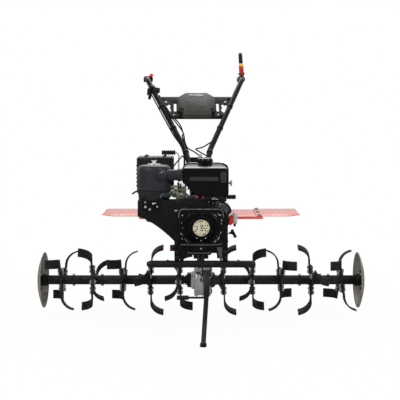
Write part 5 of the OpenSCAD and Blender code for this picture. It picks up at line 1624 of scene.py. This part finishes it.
class TILLER_OT_panel(bpy.types.Operator):
    """The control panel's plate with its windows, and the moulded cover"""

    bl_idname = "tiller.panel"
    bl_label = "Control panel"

    def execute(self, context):
        out = slope(0, 0, 1) - slope(0, 0, 0)
        plate = slab("panel_sheet", [slope(x, y, -1.5) for x, y in (
            (-128.4, 0), (128.4, 0), (174.3, 153.9), (-174.3, 153.9))], out * 3)
        tools = []
        for side in (-1, 1):
            tools.append(slab(
                "slot", [slope(side * (99 + x) + 2, 72 + y, -8) for x, y in rim(12, 60, 5)], out * 16))
            for x, y, r in ((139, 117, 5.2), (103, 20, 4.2)):
                tools.append(rod("hole", slope(side * x, y, -8), slope(side * x, y, 8), r * MM, 20))
            window = (
                (119, 36), (129, 26), (138, 34), (144, 44), (150, 54), (150, 76), (142, 86), (134, 80),
                (126, 90), (118, 82), (122, 60), (116, 50))
            tools.append(slab("window", [slope(side * x, y + 6, -8) for x, y in window], out * 16))
        cut(plate, *tools)
        flange = slab(
            "panel_fold", [slope(x, 0, z) for x, z in ((-126, 1.5), (126, 1.5), (126, -12), (-126, -12))],
            slope(0, 3, 0) - slope(0, 0, 0))
        soften(plate, 0.0008)
        soften(flange, 0.0008)
        dress(join("panel_sheet", [plate, flange]), "panel_paint", "panel_plate", body="handlebar")
        self.cover(out)
        spots = [(slope(side * x, y, 1.5), out) for side in (-1, 1) for x, y in ((156, 140), (118, 12))]
        studs("panel_bolts", spots, "handlebar", key="frame_paint", radius=0.006)
        return {"FINISHED"}

    def cover(self, out):
        """A moulded shell with cut corners, a raised middle, a ramp and a bare label place."""
        outline = (
            (-62, -14), (69, -12), (73, 27), (91, 33), (91, 120), (57, 152), (-52, 152), (-86, 120),
            (-86, 36), (-65, 27))
        shell = slab("shell", [slope(x, y, 1.5) for x, y in outline], out * 16)
        inner = [(2 + (x - 2) * 0.93, max(11, 68 + (y - 68) * 0.95)) for x, y in outline]
        raised = slab("raised", [slope(x, y, 16) for x, y in inner], out * 15.5)
        for piece in (shell, raised):
            soften(piece, 0.005, 4, 25)
        low = slab("ramp", [
            slope(-58, y, z)
            for y, z in ((-12, 1.5), (-12, 24), (-6, 28.5), (13, 31.4), (34, 31.4), (34, 1.5))
        ], slope(66, 0, 0) - slope(-58, 0, 0))
        soften(low, 0.003, 3)
        dress(join("panel_shell", [shell, raised, low]), "panel_plastic", "panel_cover", body="handlebar")
        label = slab("panel_label", [slope(x, 127 + y, 31.5) for x, y in rim(66, 16, 3)], out * 0.8)
        dress(soften(label, 0.0003), "highlight_and_label_grey", body="handlebar", slot="panel_plastic")
        inset = slab("panel_inset", [slope(2 + x, 66 + y, 31.5) for x, y in rim(96, 62, 5)], out * 0.6)
        dress(soften(inset, 0.0003), "panel_plastic", body="handlebar")


class TILLER_OT_controls(bpy.types.Operator):
    """The clutch lever, the throttle and the stop switch on the handlebar"""

    bl_idname = "tiller.controls"
    bl_label = "Controls"

    def execute(self, context):
        self.clutch()
        self.throttle()
        self.stop()
        for side, name in ((-1, "left"), (1, "right")):
            self.grip(side, name)
        return {"FINISHED"}

    def collar(self, name, at, way, length):
        """A clamp ring round a handle tube."""
        ring = lathe(name, [
            (TUBE_BORE, 0), (16.5, 0), (17, 1), (17, length - 1), (16.5, length), (TUBE_BORE, length)
        ], at, way, 36)
        return shade(ring)

    def clutch(self):
        """A red flat lever with a yellow band that is a painted highlight, and a black sleeve, on its black
        bracket.
        """
        clamp = self.collar(
            "clutch_clamp", handle(GRIP_X, 618, GRIP_Z),
            handle(GRIP_X, 619, GRIP_Z) - handle(GRIP_X, 618, GRIP_Z), 26)
        ears = [slab("ear", [
            handle(x, 631 + y, 1024 + z)
            for y, z in ((-14, -8), (14, -8), (11, 14), (5, 20), (-5, 20), (-11, 14))
        ], (handle(x + 3, 631, 0) - handle(x, 631, 0))) for x in (220, 237)]
        tab = slab("tab", [
            handle(x, 620, 1010 + z) for x, z in ((205, -6), (230, -6), (230, 14), (212, 14), (205, 8))
        ], handle_way(0, 6, 0))
        for piece in ears + [tab]:
            soften(piece, 0.001)
        dress(join("clutch_bracket", [clamp] + ears), "frame_paint", body="handlebar")
        dress(tab, "bolt_zinc", body="handlebar")
        tilt = math.radians(42)

        def along(x, y, s):
            return handle(
                GRIP_X + x, 631 + s * math.sin(tilt) + y * math.cos(tilt),
                1038 + s * math.cos(tilt) - y * math.sin(tilt))

        blade = slab("lever", [
            along(-11, y, s) for y, s in ((-7, -10), (7, -10), (9, 16), (7, 62), (-7, 62), (-9, 16))
        ], along(11, 0, 0) - along(-11, 0, 0))
        dress(soften(blade, 0.003, 3), "lever_red", "clutch_lever", body="handlebar")
        # A yellow band round the lever: a painted highlight on the red lever.
        collar = slab(
            "collar", [along(-10.5, y, s) for y, s in ((-8.5, 41), (8.5, 41), (8.5, 62), (-8.5, 62))],
            along(10.5, 0, 0) - along(-10.5, 0, 0))
        dress(soften(collar, 0.003, 3), "lever_highlight_yellow", body="handlebar")
        sleeve = lathe(
            "sleeve", [(0, 0), (8.8, 0), (9.8, 3), (9.8, 64), (8.5, 71), (5, 73), (0, 73)],
            along(0, 0, 62), along(0, 0, 63) - along(0, 0, 62), 32)
        dress(shade(sleeve), "rubber", body="handlebar")
        studs(
            "clutch_pivot", [(handle(219.5, 631, 1038), -X_AXIS), (handle(240.5, 631, 1038), X_AXIS)],
            "handlebar", radius=0.006)

    def throttle(self):
        """A round throttle housing on the left tube with its lever and cable stop."""
        at = on_tube(0.86, -1)
        way = (on_tube(1, -1) - at).normalized()
        clamp = self.collar("throttle_clamp", at, way, 26)
        spot = at + way * 0.002 + X_AXIS * 0.010
        drum = lathe(
            "drum", [(0, 0), (13.5, 0), (14, 1.5), (14, 14), (12, 16.5), (11, 22), (0, 22)], spot, X_AXIS,
            40)
        shade(drum)
        face = lathe(
            "drum_front", [(0, 0), (15, 0), (15.8, 2), (15.8, 10), (13, 12), (0, 12.5)],
            spot + Vector((0.004, -0.010, -0.004)), -Y_AXIS, 40)
        shade(face)
        stop = rod(
            "cable_stop", at + Vector((-0.022, -0.006, -0.022)), at + Vector((-0.022, -0.006, 0.010)),
            0.0085, 18, 0.006)
        soften(stop, 0.001)
        neck = box("neck", at + Vector((-0.026, -0.012, -0.012)), at + Vector((-0.008, 0.004, 0.002)))
        soften(neck, 0.002)
        lever = rod(
            "throttle_hook", at + Vector((-0.012, -0.014, -0.010)), at + Vector((-0.019, -0.014, -0.042)),
            0.0078, 20, 0.0066)
        soften(lever, 0.0016, 3)
        dress(
            join("throttle", [clamp, drum, face, stop, neck, lever]), "plastic", "throttle_lever",
            body="handlebar")
        studs(
            "throttle_screw", [(spot + Vector((0.004, -0.0222, -0.004)), -Y_AXIS)], "handlebar",
            key="frame_paint", radius=0.004)

    def stop(self):
        """A moulded switch with a red button."""
        back = handle_way(0, 1, 0)
        case = slab("case", [handle(-224 + x, 618, 1011 + z) for x, z in rim(42, 29, 8)], back * 23)
        soften(case, 0.002, 3)
        bore = rod("bore", handle(-GRIP_X, 600, GRIP_Z), handle(-GRIP_X, 660, GRIP_Z), TUBE_BORE * MM, 32)
        cut(case, bore)
        shade(case)
        cheek = slab("cheek", [handle(-243 + x, 619, 1008 + z) for x, z in rim(10, 24, 4)], back * 18)
        soften(cheek, 0.002, 3)
        dress(join("stop_case", [case, cheek]), "plastic", "stop_switch", body="handlebar")
        ring = lathe(
            "button_ring", [(5, 0), (9.5, 0), (10, 1), (9.5, 4), (5, 4)], handle(-210, 630, 1025), Z_AXIS,
            32)
        shade(ring)
        button = lathe(
            "button", [(0, 1), (7.8, 1), (8, 8), (7.2, 11.5), (4, 12.8), (0, 13.2)],
            handle(-210, 630, 1025), Z_AXIS, 32)
        shade(button)
        stem = rod("button_stem", handle(-212, 624, 1030), handle(-226, 616, 1018), 0.0045, 20, 0.0035)
        soften(stem, 0.001)
        dress(join("stop_button", [ring, button, stem]), "pink_red", body="handlebar")

    def grip(self, side, name):
        """A rubber grip with rings and an end flange."""
        profile = [(TUBE_BORE, 0), (15.8, 0), (16, 2), (16, 6), (14.6, 8)]
        for k in range(12):
            low = 10 + 7.6 * k
            profile += [(14.6, low), (15.5, low + 1), (15.5, low + 4.8), (14.6, low + 5.8)]
        profile += [(15, 103), (15.6, 105), (14.2, 108), (0, 108)]
        start = handle(side * GRIP_X, 646, GRIP_Z)
        back = handle(side * GRIP_X, 647, GRIP_Z) - start
        obj = shade(lathe("grip", profile, start, back, 36))
        dress(obj, "rubber", "grip_" + name, body="handlebar")


class TILLER_OT_column(bpy.types.Operator):
    """Bolts, teeth and plates of the handlebar's column, the handle tubes and their clips"""

    bl_idname = "tiller.column"
    bl_label = "Column"

    def execute(self, context):
        across = TILT_AXIS.normalized()
        tooth = box("tooth", (0.0205, -0.0013, 0), (0.0258, 0.0013, 0.0022))
        soften(tooth, 0.0004, 2)
        places = []
        for side in (-1, 1):
            turn = facing(TILT + across * side * 0.0243, across * side)
            places += [turn @ Matrix.Rotation(a, 4, "Z") for a in around(24, 0)]
        dress(repeat("tilt_teeth", tooth, places), "frame_paint", body="handlebar")
        spots = [
            (SWIVEL + Vector((0.031 * math.cos(a), 0.031 * math.sin(a), 0.0)) + Z_AXIS * 0.0521, Z_AXIS)
            for a in (0.6, 2.54, 3.74, 5.68)]
        studs("turntable_bolts", spots, "turntable", radius=0.006)
        flange = lathe(
            "column_flange", [(30, 0), (46, 0), (47, 1), (47, 7), (45, 9), (40, 9), (30, 9)], SWIVEL,
            Z_AXIS, 56)
        dress(shade(flange), "frame_paint")
        clips = []
        for side in (-1, 1):
            for share in (0.16, 0.42, 0.66):
                at = on_tube(share, side)
                way = (on_tube(share + 0.03, side) - at).normalized()
                clips.append(
                    lathe("clip", [
                        (TUBE_BORE, 0), (13.8, 0), (14.2, 1), (14.2, 11), (13.8, 12), (TUBE_BORE, 12)
                    ], at, way, 32))
        for side, name in ((-1, "left"), (1, "right")):
            path = rounded([
                on_tube(0, side), on_tube(0.2, side), on_tube(1, side), handle(side * GRIP_X, 750, GRIP_Z)
            ], 0.07, 10)
            bar = shade(tube("handle_tube", path, 0.012, 8))
            dress(bar, "guard_paint", "handle_tube_" + name, body="handlebar")
        cross = slab("cross_plate", [
            handle(x, 116, z)
            for x, z in ((-40, 632), (40, 632), (44, 646), (42, 660), (-42, 660), (-44, 646))
        ], handle_way(0, 5, 0))
        dress(soften(cross, 0.0015), "frame_paint", body="handlebar")
        tab = slab("cable_tab", [
            handle(x, 108, z) for x, z in ((0, 648), (18, 648), (18, 668), (14, 674), (4, 674), (0, 668))
        ], handle_way(0, 8, 0))
        dress(soften(tab, 0.0015), "grey_plastic", body="handlebar")
        for piece in clips:
            shade(piece)
        dress(join("tube_clips", clips), "plastic", body="handlebar")
        return {"FINISHED"}


class TILLER_OT_cables(bpy.types.Operator):
    """The control cables along the tubes, round the column and on to the engine"""

    bl_idname = "tiller.cables"
    bl_label = "Cables"

    def execute(self, context):
        left = [
            self.along(
                -1, (0.82, (17, -8, -4)), (0.6, (20, -6, 2)), (0.36, (17, -6, 0)), (0.24, (9, -12, 0)),
                (0.13, (12, -10, 0))
            ),
            self.along(
                -1, (0.80, (-16, -10, 0)), (0.58, (-20, -14, 4)), (0.46, (-34, -14, 6)),
                (0.36, (-30, -12, 0)), (0.28, (-18, -12, 0)), (0.22, (-14, -10, 0))
            ),
            self.along(
                -1, (0.78, (-12, -12, 2)), (0.56, (-14, -16, 6)), (0.47, (-24, -18, 4)),
                (0.40, (-36, -16, -6)), (0.34, (-20, -16, 2)), (0.26, (-12, -12, 0)))]
        right = [
            self.along(
                1, (0.93, (4, 14, -6)), (0.6, (3, 12, -10)), (0.3, (3, 12, -10)), (0.13, (6, 12, -8))
            ),
            [
                on_tube(0.30, 1, (-4, -14, 0)), handle(50, 190, 716), handle(24, 172, 702),
                handle(-2, 156, 696), handle(-8, 150, 693), handle(12, 138, 680),
                on_tube(0.13, 1, (-4, -14, 0))]]
        run = self.run("handle_cable_run", left + right)
        dress(run, "cable", "handle_cables", body="handlebar")
        column = [
            [
                on_tube(0.13, -1, (12, -10, 0)), handle(-62, 44, 604), handle(-56, 22, 568),
                handle(-42.6, 7, 531)
            ],
            [
                on_tube(0.22, -1, (-14, -10, 0)), handle(-34, 150, 692), handle(-6, 128, 676),
                handle(30, 92, 644), handle(52, 50, 600), handle(54, 22, 564), handle(42.6, 10, 534)
            ],
            [
                on_tube(0.13, 1, (6, 12, -8)), handle(62, 44, 604), handle(56, 20, 566),
                handle(42.6, 4, 530)]]
        bend = self.run("column_cable_run", column)
        self.span(bend, "turntable", "handlebar", handle(0, 10, 535), handle(0, 80, 640), "column_cables")
        engine = [
            [
                handle(-42.6, -7, 528), handle(-58, 6, 590), place(-70, 70, 650), place(-78, 62, 672),
                place(-92, 16, 660), place(-109, -50, 642), place(-124, -88, 616), place(-128, -98, 570),
                place(-118, -120, 534), place(-104, -180, 548), place(-90, -240, 580)
            ],
            [
                handle(42.6, -7, 528), handle(48, -20, 566), place(36, -20, 598), place(33, -90, 600),
                place(31, -138, 576), place(30, -150, 540), place(30, -150, 496)]]
        feed = self.run("engine_cable_run", engine)
        self.span(feed, "chassis", "turntable", place(-60, -60, 590), handle(0, 0, 540), "engine_cables")
        return {"FINISHED"}

    def run(self, name, paths):
        """Cables through lists of points, as one object."""
        radius = sizes().cable_radius
        return join(name, [shade(tube("cable", self.eased(points), radius, 4)) for points in paths])

    def along(self, side, *stops):
        """Points beside a handle tube, each by its share of the slope and its lift."""
        return [on_tube(share, side, lift) for share, lift in stops]

    def span(self, obj, first, second, start, end, node):
        """A cable run given the cable finish, with its place put into its mesh; it is not attached to
        either body. The bodies and the two points are not used.
        """
        obj.data.materials.clear()
        obj.data.materials.append(MATERIALS["cable"])
        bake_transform(obj)
        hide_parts(node)

    def eased(self, points, steps=8):
        """A smooth curve through the points."""
        out = []
        padded = [points[0] * 2 - points[1]] + points + [points[-1] * 2 - points[-2]]
        for a, b, c, d in zip(padded, padded[1:], padded[2:], padded[3:]):
            for k in range(steps):
                t = k / steps
                bend = 2 * a - 5 * b + 4 * c - d
                twist = 3 * b - a - 3 * c + d
                out.append(0.5 * (2 * b + (c - a) * t + bend * t * t + twist * t ** 3))
        return out + [points[-1]]


class TILLER_OT_plain_pieces(bpy.types.Operator):
    """Rounds the edges of the pieces whose CAD shape is right, and gives them their finish"""

    bl_idname = "tiller.plain_pieces"
    bl_label = "Plain pieces"

    def execute(self, context):
        edge = sizes().edge_round
        finishes = {
            "black_paint": "frame_paint", "gloss_black": "enamel", "tine_paint": "tine_paint",
            "red_paint": "red_paint", "cast_aluminium": "casting", "engine_casting": "black_casting",
            "black_plastic": "plastic", "grip_rubber": "rubber", "steel": "steel", "zinc": "zinc",
            "cast_zinc": "carburettor", "red_plastic": "red_plastic", "panel_plastic": "panel_plastic",
            "panel_steel": "panel_paint",
        }
        for node in sorted(frame["nodes"]):
            if frame["nodes"][node].hide_render:
                continue
            refined(node, finishes[node_slot(node)], edge)
        return {"FINISHED"}


class TILLER_PT_panel(bpy.types.Panel):
    """The tiller's operators, in the sidebar"""

    bl_idname = "TILLER_PT_panel"
    bl_label = "Tiller"
    bl_space_type = "VIEW_3D"
    bl_region_type = "UI"
    bl_category = "Tiller"

    def draw(self, context):
        for step in STEPS:
            self.layout.operator(step.bl_idname)


STEPS = (
    TILLER_OT_finishes,
    TILLER_OT_rotor,
    TILLER_OT_gearbox,
    TILLER_OT_starter,
    TILLER_OT_tank,
    TILLER_OT_air_cleaner,
    TILLER_OT_carburettor,
    TILLER_OT_muffler,
    TILLER_OT_engine_fittings,
    TILLER_OT_front_guard,
    TILLER_OT_mudguards,
    TILLER_OT_stand,
    TILLER_OT_levers,
    TILLER_OT_panel,
    TILLER_OT_controls,
    TILLER_OT_column,
    TILLER_OT_cables,
    TILLER_OT_plain_pieces,
    TILLER_OT_stage,
)
CLASSES = (TillerColours, TillerSizes, *STEPS, TILLER_PT_panel)


def register():
    """Registers the classes and the scene's settings."""
    for cls in CLASSES:
        bpy.utils.register_class(cls)
    bpy.types.Scene.tiller_colours = bpy.props.PointerProperty(type=TillerColours)
    bpy.types.Scene.tiller_sizes = bpy.props.PointerProperty(type=TillerSizes)


def unregister():
    """Takes the classes and the scene's settings away."""
    del bpy.types.Scene.tiller_sizes
    del bpy.types.Scene.tiller_colours
    for cls in reversed(CLASSES):
        bpy.utils.unregister_class(cls)


def main():
    """Builds the pieces in order."""
    register()
    for step in STEPS:
        group, name = step.bl_idname.split(".")
        getattr(getattr(bpy.ops, group), name)()
    clear()


if __name__ == "__main__":
    main()
